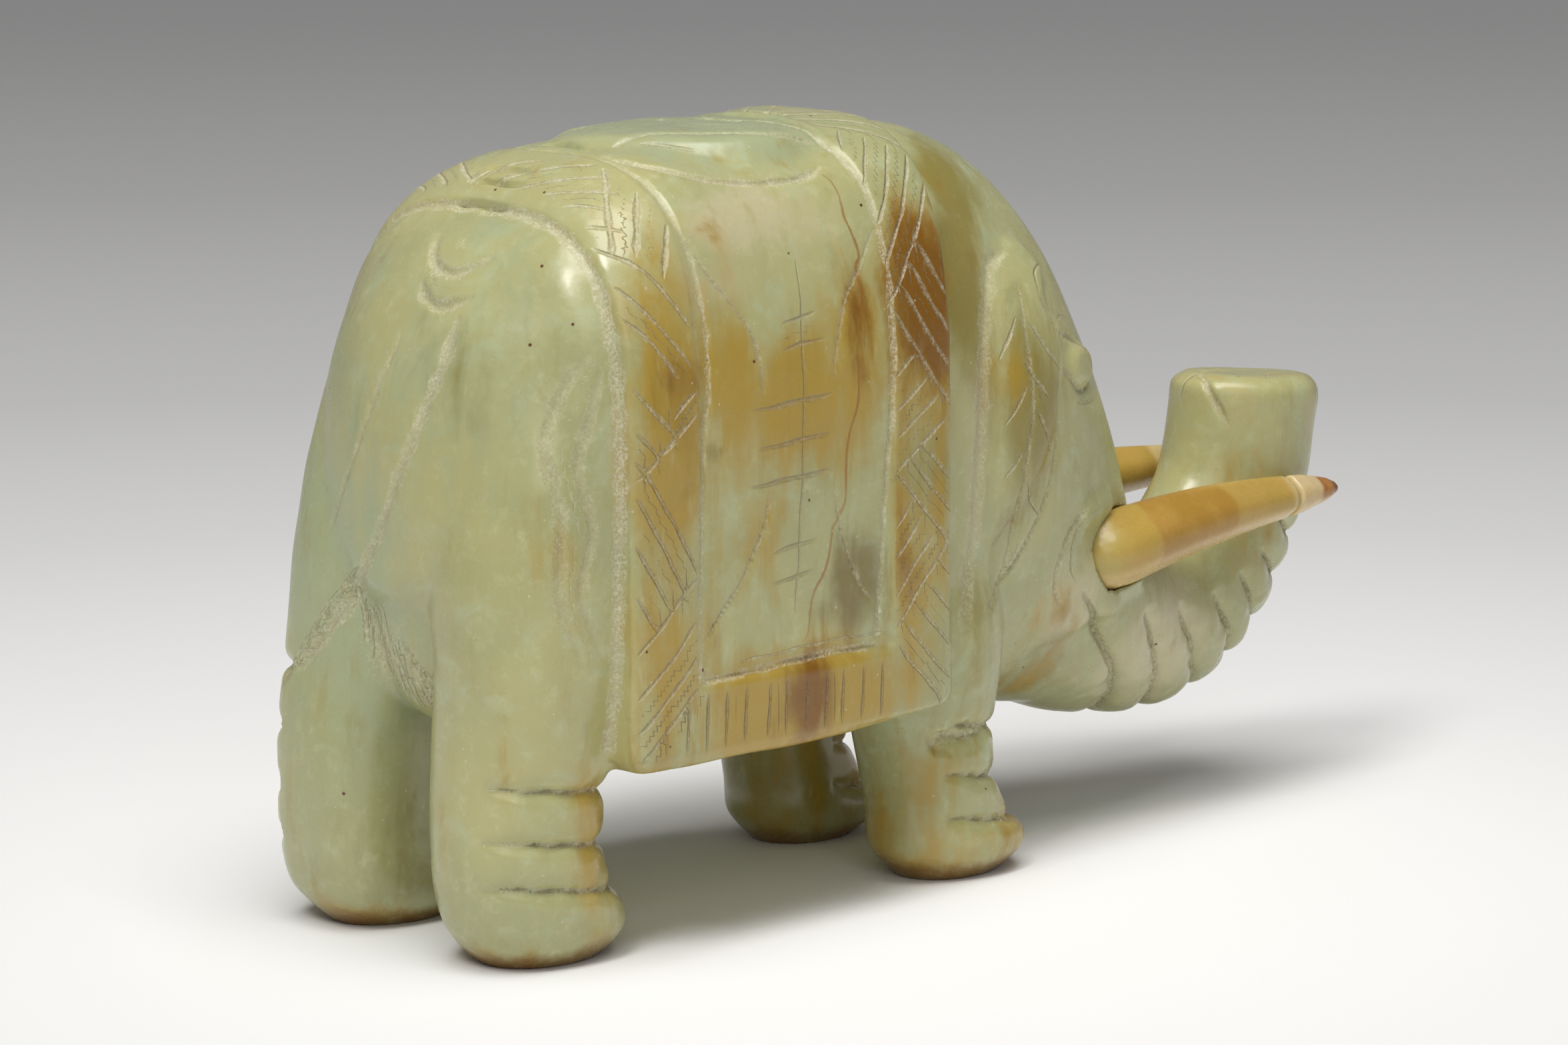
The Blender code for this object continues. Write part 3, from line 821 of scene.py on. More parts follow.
TRUNK_FOLDS = [
    [(0.0, -28.8, 9.9), (3.2, -27.6, 11.0), (7.3, -25.8, 14.0), (9.7, -23.5, 17.0), (12.4, -19.2, 21.7),
     (15.0, -15.0, 26.4)],
    [(0.0, -35.2, 10.4), (5.0, -33.5, 11.7), (8.0, -31.9, 14.9), (9.3, -30.5, 17.3), (10.4, -28.5, 20.1),
     (11.0, -26.8, 22.6)],
    [(0.0, -42.0, 11.9), (4.3, -40.5, 12.6), (7.1, -38.3, 15.2), (7.9, -37.3, 17.3), (8.4, -35.6, 19.7),
     (8.7, -34.1, 22.0)],
    [(0.0, -47.4, 14.6), (5.5, -44.8, 15.8), (6.4, -44.3, 17.4), (7.2, -42.4, 19.6), (7.2, -40.4, 22.4)],
    [(0.0, -51.8, 17.4), (5.3, -49.2, 18.5), (6.5, -47.6, 20.6), (6.8, -44.6, 24.0)],
    [(0.0, -55.8, 21.4), (4.0, -54.0, 22.0), (6.2, -51.2, 23.4), (6.7, -48.0, 26.0)],
    [(0.0, -58.4, 25.6), (4.0, -56.4, 26.2), (6.0, -53.4, 27.4), (6.4, -50.6, 29.4)],
    [(0.0, -59.6, 30.4), (4.0, -57.8, 30.8), (6.0, -55.0, 31.6)],
]


def trunk_rings(broad, fold):
    """Wrinkles round the trunk's outer curve, chalky where they run out on its flanks."""
    for line in TRUNK_FOLDS:
        right, left = [[broad.skin.settle(Vector((side * x, y, z))) for x, y, z in line]
                       for side in (RIGHT, LEFT)]
        fold.cut(left[:0:-1] + right, 3.3, 0.8, 1.0, 4.0)
        for half in (right, left):
            broad.cut(half[-3:], 0.6, 0.9, 0.6, 2.4)


def tip_lines(fine, broad):
    """Nostril fold on the flat end of the trunk."""
    broad.above(((-4.6, -45.2), (-1.6, -44.6), (0.8, -46.6), (1.4, -50.0), (1.6, -54.0)), 0.5, 0.6, 0.9)
    fine.above(((0.8, -46.6), (0.4, -44.6), (0.8, -43.4)), 0.3, 0.6, 0.8)
    fine.above(((-5.4, -50.0), (-4.0, -51.6), (-2.4, -52.6)), 0.3, 0.6, 0.7)


def belly_chalk(fine):
    """Scratchy tool marks between the hind legs."""
    for i in range(11):
        x = 5.4 - 0.95 * i + rng.uniform(-0.3, 0.3)
        z = 33.0 - 0.7 * i + rng.uniform(-1.0, 1.0)
        fine.behind(((x, z), (x - 0.7, z - 3.0), (x - 1.0, z - 6.4)), 0.42, 1.0, 1.0)


def engrave(skin):
    """Return the families of engraved lines; lines that cross belong to different families."""
    fine = Engraving("fine", skin, 0.0)
    cross = Engraving("cross", skin, 0.0)
    broad = Engraving("broad", skin, 0.42)
    edge = Engraving("edge", skin, 0.15)
    fold = Engraving("fold", skin, 1.3, lobed=True)
    for side in (RIGHT, LEFT):
        cloth_edges(edge, broad, side)
        hatch_borders(fine, side)
        hatch_back(fine, cross, side)
        fringe(fine, broad, side)
        stitching(fine, cross, side)
        panel_folds(broad, side)
        haunch_folds(broad, side)
        ear_lines(broad, fine, side)
        face_lines(broad, fine, side)
        for hind in (True, False):
            leg_rings(fold, side, hind)
    pad_lines(broad, fine)
    rump_lines(broad, fine)
    tip_lines(fine, broad)
    trunk_rings(broad, fold)
    ridge_notches(fold)
    belly_chalk(fine)
    return fine, cross, broad, edge, fold


# ---------------------------------------------------------------- broad forms and colour zones

def smooth(low, high, values):
    """Return 0 below `low` and 1 above `high`, eased between."""
    t = np.clip((values - low) / (high - low), 0.0, 1.0)
    return t * t * (3 - 2 * t)


def band(low, high, ease, values):
    """Return 1 between two limits, eased outside them."""
    return smooth(low - ease, low, values) * (1 - smooth(high, high + ease, values))


def blobs(points, places):
    """Return a soft mask from (x, y, z, reach across, reach along, reach up, strength)."""
    total = np.zeros(len(points))
    for x, y, z, a, b, c, strength in places:
        away = ((points[:, 0] - x) / a) ** 2 + ((points[:, 1] - y) / b) ** 2 + ((points[:, 2] - z) / c) ** 2
        total = np.maximum(total, strength * np.exp(-away))
    return total


def cloth_relief(points, facing):
    """Raise the borders of the cloth a little above its middle panel."""
    y, z = points[:, 1], points[:, 2]
    outward = smooth(0.35, 0.8, np.hypot(facing[:, 0], np.maximum(facing[:, 2], 0.0)))
    on_cloth = outward * band(8.2, REAR_BORDER[1], 0.4, y) * smooth(18.4, 19.4, z)
    rear = band(*REAR_BORDER, 0.5, y)
    front = band(*FRONT_BORDER, 0.6, y)
    hem = (1 - smooth(HEM_BAND[1], HEM_BAND[1] + 0.8, z)) * smooth(HEM_BAND[0], 19.2, z)
    return on_cloth * BORDER_RISE * np.maximum(np.maximum(rear, front), hem)


def eye_relief(points):
    """Raise the eyeballs and sink the hollows of the ears."""
    eyes = [(side * 13.0, -15.0, 49.0, 4.8, 4.0, 2.4, 1.0) for side in (RIGHT, LEFT)]
    hollows = [(side * 14.6, -8.9, 56.2, 4.0, 2.4, 3.4, 1.0) for side in (RIGHT, LEFT)]
    return 0.8 * smooth(0.3, 0.8, blobs(points, eyes)) - 0.5 * smooth(0.3, 0.8, blobs(points, hollows))


COLLAR_RADIUS, COLLAR_WIDTH, COLLAR_RISE = 5.4, 1.3, 0.6


def socket_collars(points):
    """Raise a lip of stone round the root of each tusk."""
    total = np.zeros(len(points))
    for side in (RIGHT, LEFT):
        rows = tusk_rows(side, 0.0, 1.0)
        root, tip = np.array(rows[0][:3]), np.array(rows[-1][:3])
        axis = (tip - root) / np.linalg.norm(tip - root)
        along = (points - root) @ axis
        away = np.linalg.norm(points - root - along[:, None] * axis, axis=1)
        total += np.exp(-((away - COLLAR_RADIUS) / COLLAR_WIDTH) ** 2) * band(-2.0, 3.6, 1.2, along)
    return COLLAR_RISE * total


def hand_wobble(points):
    """Slow unevenness left by carving and polishing by hand."""
    x, y, z = points.T
    waves = np.sin(0.31 * x + 0.23 * y + 1.0) * np.sin(0.27 * z - 0.19 * y + 0.4)
    waves += 0.6 * np.sin(0.52 * y - 0.37 * z + 2.0) * np.sin(0.44 * x + 0.36 * z)
    return 0.09 * waves


# Where the colour zones lie: x, y, z, then reach across, along and up, then strength.
ZONES = {
    "honey": [
        (-14, 50, 14, 9, 12, 24, 0.4), (-6, -48, 34, 14, 14, 16, 0.36), (-14, -6, 20, 9, 12, 14, 0.36),
        (-21, 44.5, 48, 9, 4.6, 20, 1.0), (-21, 44.5, 27, 9, 5, 10, 0.8), (-21, 36, 52, 9, 4.6, 11, 0.95),
        (-21, 28, 50, 9, 7, 8, 0.95), (-21, 21, 52, 9, 5, 12, 0.9), (-20, 33, 38, 9, 8, 10, 0.5),
        (-20, 12, 56, 9, 6, 17, 1.0), (-20, 12.5, 34, 9, 5, 12, 0.85), (-20, 28, 22, 9, 14, 6, 1.25),
        (-17.5, -1, 50, 6, 3, 4, 0.6), (-17, -9, 43, 6, 3, 5, 0.35), (-17.5, 54, 38, 5, 4, 9, 0.55),
        (-10, 46, 5, 9, 9, 5, 0.5), (-10, -7, 4, 8, 6, 6, 1.05), (-10, 3, 4, 8, 8, 6, 0.95),
        (-12, 3, 22, 8, 6, 6, 0.45), (-10, 56, 1, 9, 9, 3, 0.7), (10, 56, 1, 9, 9, 3, 0.7),
        (-12, 50, 12, 9, 10, 14, 0.7), (-10, 3, 12, 8, 8, 9, 0.8), (-15.5, 47, 15, 5, 5, 5, 0.5),
        (21, 30, 45, 9, 12, 16, 0.7), (20, 12, 50, 9, 6, 14, 0.9), (20, 44, 36, 9, 5, 14, 0.8),
        (18, -3, 42, 7, 8, 12, 0.4), (10, 3, 8, 9, 9, 12, 0.7), (10, -5, 4, 8, 7, 5, 0.8),
        (10, 3, 3, 8, 8, 6, 0.8), (-9, -12, 16, 8, 6, 6, 0.45),
    ],
    "orange": [
        (-20, 12, 58, 8, 5, 11, 1.15), (-21, 43.5, 50, 8, 4, 12, 0.42), (-21, 20.3, 56, 8, 2.2, 8, 0.75),
        (-21, 27.5, 22.5, 8, 4, 5, 1.0), (-20, 13, 34, 8, 3.5, 6, 0.6), (20, 12, 54, 8, 4.5, 7, 0.9),
        (21, 30, 40, 8, 5, 6, 0.4), (-10, -8, 3, 6, 6, 5, 1.0), (-20.5, 43, 24, 8, 3, 3, 0.4),
        # The four orange blobs at z = -1 are painted contact shade, a brown glow round the soles where they
        # meet the floor.
        (-10, 56, -1, 9, 9, 2.2, 0.9), (-10, 0, -1, 9, 9, 2.2, 0.9), (10, 56, -1, 9, 9, 2.2, 0.9),
        (10, 0, -1, 9, 9, 2.2, 0.9), (-19.4, 54.5, 46, 3, 1.2, 3, 0.9),
        (17.5, 54.5, 45.6, 1.4, 1.4, 1.0, 1.3),
    ],
    "brown": [
        (-21, 20.6, 33, 8, 4.5, 7, 0.95), (-21, 24, 30.5, 8, 4.5, 3.0, 0.55), (21, 22, 34, 8, 5, 6, 0.6),
        (-21, 38.6, 46.6, 3, 1.5, 1.5, 0.75),
    ],
    "olive": [
        (-12, 1, 68, 9, 5, 7, 1.0), (12, 0, 66, 8, 6, 6, 0.7), (-16, 5, 58, 6, 4, 11, 1.15),
        (-20, 12, 42, 8, 5, 11, 0.9), (-20, 19, 46, 8, 4, 9, 0.5), (-17.5, -4, 46, 6, 8, 12, 0.75),
        (-9, 58, 54, 6, 6, 12, 0.35), (-12, 50, 22, 8, 8, 12, 0.4), (-20, 44, 18, 8, 6, 6, 0.5),
        (0, -52, 30, 9, 5, 9, 0.35), (-10, 3, 12, 8, 8, 9, 0.85), (-12, 3, 26, 8, 7, 11, 0.85),
        # The olive blobs at (10, 3, 10) and (6, 54, 10) are painted shade: on the far foreleg under the
        # body, and on the inner face of the left hind leg.
        (-10, -12, 18, 8, 6, 6, 0.7), (-15, -14, 36, 6, 7, 9, 0.4), (10, 3, 10, 9, 9, 12, 1.3),
        (6, 54, 10, 4, 8, 12, 0.6),
    ],
    "pale": [
        (-6, 55, 50, 12, 8, 16, 0.7), (-16, 46, 52, 5, 4, 12, 0.35), (0, 26, 76, 22, 16, 9, 1.0),
        (10, 56, 34, 12, 9, 26, 1.0), (2, 58, 34, 7, 8, 14, 1.0), (-21, 20, 42, 8, 4, 8, 0.45),
        (-21, 33, 31, 8, 5, 6, 0.45), (-17, -4, 50, 5, 5, 10, 0.4), (18, 20, 60, 8, 16, 12, 0.5),
        (0, -24, 40, 9, 9, 14, 0.4), (-6, 50, 66, 9, 6, 6, 0.5), (-4, -2, 73, 9, 7, 4, 0.6),
        (-12, 50, 12, 5, 5, 6, 0.3),
    ],
    "milk": [
        (0, -52, 39, 9, 9, 6, 0.6), (-15, 8, 30, 6, 3, 9, 0.3), (-9, -32, 18, 8, 12, 8, 1.0),
        (-13, -14, 26, 6, 7, 7, 0.8), (9, -32, 18, 8, 12, 8, 1.0), (13, -14, 26, 6, 7, 7, 0.8),
        (-18, 30, 67, 9, 12, 5, 0.8), (-19, 36, 61, 6, 7, 4, 0.6), (-19, 49, 50, 3, 2, 10, 0.5),
        (-17, 3, 44, 5, 3, 16, 0.6),
    ],
    "chalk": [
        (-2.2, 53.6, 65.2, 1.0, 1.6, 1.0, 1.1), (-14.5, -1.6, 60.6, 2.4, 2.6, 2.0, 0.7),
        (2, 57, 28, 5, 6, 6, 0.85), (-15.5, -20, 32.5, 2.6, 3, 2.4, 0.9),
        (15.5, -20, 32.5, 2.6, 3, 2.4, 0.9), (-15.2, -15, 25, 3, 3, 3, 0.35),
        (-21, 49.4, 40, 3, 1.0, 26, 0.35),
    ],
}
VEIN = [(20.0, 70.3), (19.4, 67.0), (19.4, 62.7), (19.6, 60.0), (20.4, 54.0), (21.4, 47.6), (22.8, 40.0),
        (24.0, 37.6), (26.0, 32.0), (28.0, 27.4)]


def store(mesh, name, values):
    """Keep one number per vertex for the material."""
    held = mesh.attributes.new(name, "FLOAT", "POINT")
    held.data.foreach_set("value", np.asarray(values, np.float32))


def carve(block):
    """Add the low relief and the engraved lines to the block, and keep what its material needs."""
    mesh = block.data
    points, facing = coordinates(mesh), normals(mesh)
    skin = Skin(mesh)
    rise = cloth_relief(points, facing) + eye_relief(points) + socket_collars(points)
    # Painted contact shade: brown darkening of the stone within a few millimetres of the floor, round the
    # soles.
    store(mesh, "sole_contact_shade", 1 - smooth(0.2, 3.4, points[:, 2]))
    rise += hand_wobble(points) * smooth(1.0, 6.0, points[:, 2])
    for family in engrave(skin):
        across, strength, tint = family.measure(points, facing)
        rise -= family.depth * family.profile(across) * strength
        across = np.abs(across) if family.lobed else across
        store(mesh, family.name + "_across", np.clip(across, -6.0, 6.0))
        store(mesh, family.name + "_strength", strength)
        store(mesh, family.name + "_tint", tint)
    vein = Engraving("vein", skin, 0.0)
    vein.flank(RIGHT, VEIN, 0.24, 0.0, 1.0, 6.0, 0.3)
    across, strength, _ = vein.measure(points, facing)
    store(mesh, "vein_across", np.clip(across, -6.0, 6.0))
    store(mesh, "vein_strength", strength)
    for name, places in ZONES.items():
        store(mesh, name, blobs(points, places))
    # The flat soles stay where they are, and nothing sinks below them.
    moved = points + facing * rise[:, None]
    moved[:, 2] = np.where(points[:, 2] < 0.05, points[:, 2], np.maximum(moved[:, 2], 0.0))
    set_coordinates(mesh, moved)
    mesh.shade_smooth()


def drill_sockets(block):
    """Cut the blind sockets that hold the tusks. The drill runs a little past a tusk's ends."""
    for side in (RIGHT, LEFT):
        bm = bmesh.new()
        add_loft(bm, swept_rings(tusk_rows(side, -0.003, 1.02, SOCKET_CLEARANCE), circle(40)))
        drill = loft_object("drill", bm)
        step = block.modifiers.new("socket", "BOOLEAN")
        step.operation = "DIFFERENCE"
        step.solver = "MANIFOLD"
        step.object = drill
        apply_modifiers(block)
        bpy.data.objects.remove(drill)


# ---------------------------------------------------------------- tusks

def faceted_circle(sides):
    """Return a round outline with four slight flats filed along it, two above and two below."""
    flats = (0.9, -0.9, 2.2, -2.2)
    outline = []
    for c, s in circle(sides):
        angle = math.atan2(s, c)
        leans = [max(0.0, math.cos(angle - flat)) / 0.92 for flat in flats]
        reach = (1.0 + sum(lean ** 14 for lean in leans)) ** (-1 / 14)
        outline.append((c * reach, s * reach))
    return outline


def tusk(name, side, start, end):
    """Return one length of a tusk, rounded off at both ends."""
    rows = tusk_rows(side, start, end)
    rings = swept_rings(rows, faceted_circle(72))
    first, last = Vector(rows[0][:3]), Vector(rows[-1][:3])
    for ring, middle, pull in ((rings[0], first, 0.93), (rings[-1], last, 0.9)):
        for i, point in enumerate(ring):
            ring[i] = middle.lerp(point, pull)
    vertices = [p for ring in rings for p in ring] + [first, last]
    count = len(rings[0])
    faces = ring_faces(len(rings), count)
    low, high = len(vertices) - 2, len(vertices) - 1
    top = (len(rings) - 1) * count
    for i in range(count):
        j = (i + 1) % count
        faces.append((low, j, i))
        faces.append((high, top + i, top + j))
    made = new_object(name, vertices, faces)
    shares = np.repeat(np.linspace(start, end, len(rings)), count)
    store(made.data, "along", np.append(shares, [start, end]))
    centre = np.repeat([r[2] for r in rows], count)
    thick = np.repeat([r[4] for r in rows], count)
    heights = (np.array([v[2] for v in vertices[:-2]]) - centre) / thick
    store(made.data, "above", np.append(heights, [0.0, 0.0]))
    made.data.shade_smooth()
    return made


# ---------------------------------------------------------------- materials

def srgb(red, green, blue):
    """Return a linear colour from display values out of 255."""
    parts = [v / 255 for v in (red, green, blue)]
    return (*[v / 12.92 if v <= 0.04045 else ((v + 0.055) / 1.055) ** 2.4 for v in parts], 1.0)


class Recipe:
    """A material under construction."""

    def __init__(self, name):
        self.material = bpy.data.materials.new(name)
        self.material.use_nodes = True
        self.tree = self.material.node_tree
        self.shader = self.tree.nodes["Principled BSDF"]
        place = self.add("TexCoord").outputs["Object"]
        scale = self.add("VectorMath", operation="SCALE")
        self.feed(scale.inputs[0], place)
        scale.inputs["Scale"].default_value = 1.0 / MM
        self.place = scale.outputs[0]

    def add(self, kind, **settings):
        """Add a node."""
        node = self.tree.nodes.new("ShaderNode" + kind)
        for key, value in settings.items():
            setattr(node, key, value)
        return node

    def feed(self, socket, value):
        """Link a socket, or set its value."""
        if isinstance(value, bpy.types.NodeSocket):
            self.tree.links.new(value, socket)
        else:
            socket.default_value = value

    def stored(self, name):
        """Read a number kept on the mesh."""
        return self.add("Attribute", attribute_name=name).outputs["Fac"]

    def noise(self, size, detail=3.0, roughness=0.5, stretch=None, twist=0.0):
        """Cloudy noise whose features are about `size` millimetres across."""
        node = self.add("TexNoise")
        node.inputs["Scale"].default_value = 1.0 / size
        node.inputs["Detail"].default_value = detail
        node.inputs["Roughness"].default_value = roughness
        node.inputs["Distortion"].default_value = twist
        place = self.place
        if stretch:
            squeeze = self.add("VectorMath", operation="MULTIPLY")
            self.feed(squeeze.inputs[0], place)
            squeeze.inputs[1].default_value = stretch
            place = squeeze.outputs[0]
        self.feed(node.inputs["Vector"], place)
        return node.outputs[0]

    def cells(self, size, output="Distance"):
        """Scattered cells about `size` millimetres apart."""
        node = self.add("TexVoronoi")
        node.inputs["Scale"].default_value = 1.0 / size
        self.feed(node.inputs["Vector"], self.place)
        return node.outputs[output]

    def ease(self, value, low, high, bottom=0.0, top=1.0):
        """Ease a value from `bottom` at `low` to `top` at `high`."""
        node = self.add("MapRange", interpolation_type="SMOOTHSTEP")
        for socket, given in zip(node.inputs, (value, low, high, bottom, top)):
            self.feed(socket, given)
        return node.outputs[0]

    def maths(self, operation, a, b=0.0):
        """Combine two numbers."""
        node = self.add("Math", operation=operation)
        self.feed(node.inputs[0], a)
        self.feed(node.inputs[1], b)
        return node.outputs[0]

    def times(self, a, b):
        """Multiply."""
        return self.maths("MULTIPLY", a, b)

    def plus(self, a, b):
        """Add."""
        return self.maths("ADD", a, b)

    def about_zero(self, noise, size):
        """Turn a noise between 0 and 1 into one of about `size` from end to end round 0."""
        return self.times(self.maths("SUBTRACT", noise, 0.5), size)

    def most(self, first, *others):
        """Return the largest of several numbers."""
        for other in others:
            first = self.maths("MAXIMUM", first, other)
        return first

    def blend(self, share, a, b):
        """Mix two colours."""
        node = self.add("Mix", data_type="RGBA")
        self.feed(node.inputs[0], share)
        self.feed(node.inputs[6], a)
        self.feed(node.inputs[7], b)
        return node.outputs[2]

    def settings(self, **values):
        """Set constants on the shader, by socket name with _ for each space."""
        for name, value in values.items():
            self.shader.inputs[name.replace("_", " ")].default_value = value

    def bump(self, height):
        """Use a height in millimetres as bump."""
        node = self.add("Bump")
        node.inputs["Strength"].default_value = 1.0
        node.inputs["Distance"].default_value = MM
        self.feed(node.inputs["Height"], height)
        self.feed(self.shader.inputs["Normal"], node.outputs[0])

    def groove(self, name, ragged, narrow=1.0):
        """Return how deep a place is inside a family of lines, and where chalk and stain lie."""
        across = self.times(self.maths("ABSOLUTE", self.stored(name + "_across")), narrow)
        across = self.plus(across, ragged)
        inside = self.times(self.ease(across, 0.15, 1.05, 1.0, 0.0), self.stored(name + "_strength"))
        filled = self.times(self.ease(across, 0.7, 1.25, 1.0, 0.0), self.stored(name + "_strength"))
        tint = self.stored(name + "_tint")
        chalk = self.times(filled, tint)
        stain = self.times(filled, self.maths("SUBTRACT", 1.0, tint))
        return inside, chalk, stain


def jade():
    """Translucent pale green stone with honey patches, chalky grooves and a brown vein."""
    r = Recipe("jade")
    cloud, patch = r.noise(26.0, 4.0, 0.55), r.noise(7.0, 5.0, 0.6, twist=0.4)
    grain, dust = r.noise(0.8, 5.0, 0.65), r.noise(0.28, 4.0, 0.75)
    tall = r.noise(4.0, 4.0, 0.6, (1.0, 1.0, 0.22), 0.5)
    drift = r.plus(r.about_zero(patch, 0.7), r.about_zero(tall, 1.3))
    colour = r.blend(r.ease(cloud, 0.36, 0.64), srgb(168, 169, 122), srgb(184, 179, 126))

    mottle = r.ease(r.noise(1.7, 6.0, 0.75), 0.5, 0.72, 0.0, 0.45)
    colour = r.blend(mottle, colour, srgb(202, 204, 160))
    veil = r.ease(r.noise(5.0, 5.0, 0.65, twist=0.8), 0.5, 0.72, 0.0, 0.5)
    colour = r.blend(veil, colour, srgb(184, 196, 158))
    for name, tone, start, full, amount in (
            ("pale", srgb(167, 176, 137), 0.2, 0.9, 0.9),
            ("milk", srgb(200, 190, 154), 0.2, 0.9, 0.75),
            ("olive", srgb(136, 120, 40), 0.2, 0.9, 0.8),
            ("honey", srgb(176, 142, 38), 0.2, 0.85, 0.85),
            ("orange", srgb(128, 82, 0), 0.25, 0.9, 0.92),
            ("brown", srgb(116, 96, 42), 0.3, 0.9, 0.75),
            # The last tone is painted contact shade, brown round the soles where they meet the floor.
            ("sole_contact_shade", srgb(124, 88, 26), 0.2, 1.0, 0.8)):
        share = r.ease(r.plus(r.stored(name), drift), start, full, 0.0, amount)
        colour = r.blend(share, colour, tone)
    streak = r.ease(r.noise(2.6, 5.0, 0.65, (1.0, 1.0, 0.16)), 0.54, 0.74, 0.0, 0.35)
    colour = r.blend(streak, colour, srgb(156, 136, 66))
    milky = r.ease(r.noise(1.1, 5.0, 0.7, (1.0, 1.0, 0.3)), 0.56, 0.76, 0.0, 0.25)
    colour = r.blend(milky, colour, srgb(202, 202, 158))

    ragged = r.about_zero(grain, 0.9)
    fine, fine_chalk, fine_stain = r.groove("fine", ragged)
    broad, broad_chalk, broad_stain = r.groove("broad", ragged)
    edge, edge_chalk, edge_stain = r.groove("edge", r.times(ragged, 0.6))
    cross, cross_chalk, cross_stain = r.groove("cross", ragged)
    fold, fold_chalk, fold_stain = r.groove("fold", ragged, 7.0)
    chalk = r.most(fine_chalk, cross_chalk, broad_chalk, edge_chalk, fold_chalk)
    stain = r.most(fine_stain, cross_stain, broad_stain, edge_stain, fold_stain)
    loose = r.ease(r.plus(r.stored("chalk"), r.about_zero(dust, 1.6)), 0.45, 1.0, 0.0, 0.8)
    chalk = r.most(r.times(chalk, r.ease(dust, 0.42, 0.6, 0.1, 0.88)), loose)

    vein = r.maths("ABSOLUTE", r.stored("vein_across"))
    vein = r.ease(r.plus(vein, r.times(ragged, 0.8)), 0.15, 1.2, 0.75, 0.0)
    vein = r.times(vein, r.times(r.stored("vein_strength"), r.ease(patch, 0.3, 0.5, 0.45, 1.0)))
    colour = r.blend(vein, colour, srgb(150, 98, 30))
    colour = r.blend(r.times(stain, 0.5), colour, srgb(112, 80, 36))
    chalk_tone = r.blend(r.ease(grain, 0.35, 0.65), srgb(218, 213, 186), srgb(198, 186, 150))
    colour = r.blend(chalk, colour, chalk_tone)

    speck = r.ease(r.cells(3.4), 0.035, 0.06, 1.0, 0.0)
    chosen = r.ease(r.cells(3.4, "Color"), 0.62, 0.64)
    colour = r.blend(r.times(speck, chosen), colour, srgb(96, 56, 26))
    fleck = r.times(r.ease(r.cells(2.3), 0.03, 0.06, 1.0, 0.0), 0.6)
    colour = r.blend(fleck, colour, srgb(214, 208, 180))
    r.feed(r.shader.inputs["Base Color"], colour)

    shine = r.plus(r.ease(patch, 0.3, 0.7, 0.16, 0.28), r.times(grain, 0.06))
    worn = r.most(chalk, fine, cross, broad)
    r.feed(r.shader.inputs["Roughness"], r.plus(shine, r.times(worn, 0.35)))
    r.settings(Subsurface_Weight=0.3, Subsurface_Radius=(1.0, 0.85, 0.4))
    r.settings(Subsurface_Scale=2.2 * MM, IOR=1.6)

    height = r.times(r.most(fine, cross), -0.2)
    height = r.plus(height, r.times(broad, -0.07))
    height = r.plus(height, r.times(edge, -0.03))
    height = r.plus(height, r.times(fold, -0.15))
    height = r.plus(height, r.times(r.noise(3.6, 2.0, 0.4), 0.16))
    height = r.plus(height, r.times(grain, 0.015))
    height = r.plus(height, r.times(r.times(chalk, dust), 0.03))
    r.bump(height)
    return r.material


def tusk_stone(name, tones, edges):
    """Banded translucent stone: tones along the tusk, with a lighter lower strip."""
    r = Recipe(name)
    patch, grain = r.noise(4.0, 4.0, 0.6), r.noise(0.7, 4.0, 0.6)
    along = r.plus(r.stored("along"), r.about_zero(patch, 0.05))
    colour = tones[0]
    for tone, edge in zip(tones[1:], edges):
        colour = r.blend(r.ease(along, edge - 0.012, edge + 0.012), colour, tone)
    colour = r.blend(r.ease(along, 0.0, 0.14, 0.75, 0.0), colour, srgb(182, 168, 100))
    lower = r.ease(r.stored("above"), -0.75, -0.2, 0.7, 0.0)
    colour = r.blend(lower, colour, srgb(214, 186, 126))
    cloudy = r.ease(patch, 0.42, 0.7, 0.0, 0.45)
    colour = r.blend(cloudy, colour, srgb(196, 160, 84))
    crack = r.ease(r.cells(5.0), 0.02, 0.05, 0.5, 0.0)
    colour = r.blend(crack, colour, srgb(120, 70, 30))
    r.feed(r.shader.inputs["Base Color"], colour)
    r.feed(r.shader.inputs["Roughness"], r.ease(grain, 0.3, 0.7, 0.2, 0.34))
    r.settings(Subsurface_Weight=0.4, Subsurface_Radius=(1.0, 0.6, 0.25))
    r.settings(Subsurface_Scale=2.6 * MM, IOR=1.55)
    r.bump(r.plus(r.times(patch, 0.08), r.times(grain, 0.012)))
    return r.material


def paper_with_painted_falloff():
    """Pale paper with painted light falloff: darker towards the middle distance and light again on the
    wall.
    """
    r = Recipe("paper_with_painted_falloff")
    length = r.add("VectorMath", operation="LENGTH")
    r.feed(length.inputs[0], r.place)
    far = r.times(length.outputs["Value"], 0.001)
    ramp = r.add("ValToRGB")
    # Painted light falloff: the paper's brightness drops with distance from the animal as if away from the
    # overhead light, then rises again on the wall.
    painted_falloff = ((0.0, 0.91), (0.03, 0.88), (0.055, 0.81), (0.105, 0.69), (0.175, 0.61), (0.36, 0.64),
             (0.6, 0.8), (0.85, 0.98))
    while len(ramp.color_ramp.elements) < len(painted_falloff):
        ramp.color_ramp.elements.new(0.5)
    for element, (at, level) in zip(ramp.color_ramp.elements, painted_falloff):
        element.position = at
        element.color = (level, level, level * 1.005, 1.0)
    r.feed(ramp.inputs[0], r.times(far, 0.5))
    r.feed(r.shader.inputs["Base Color"], ramp.outputs[0])
    r.settings(Roughness=0.9, Specular_IOR_Level=0.0)
    return r.material


# ---------------------------------------------------------------- stage

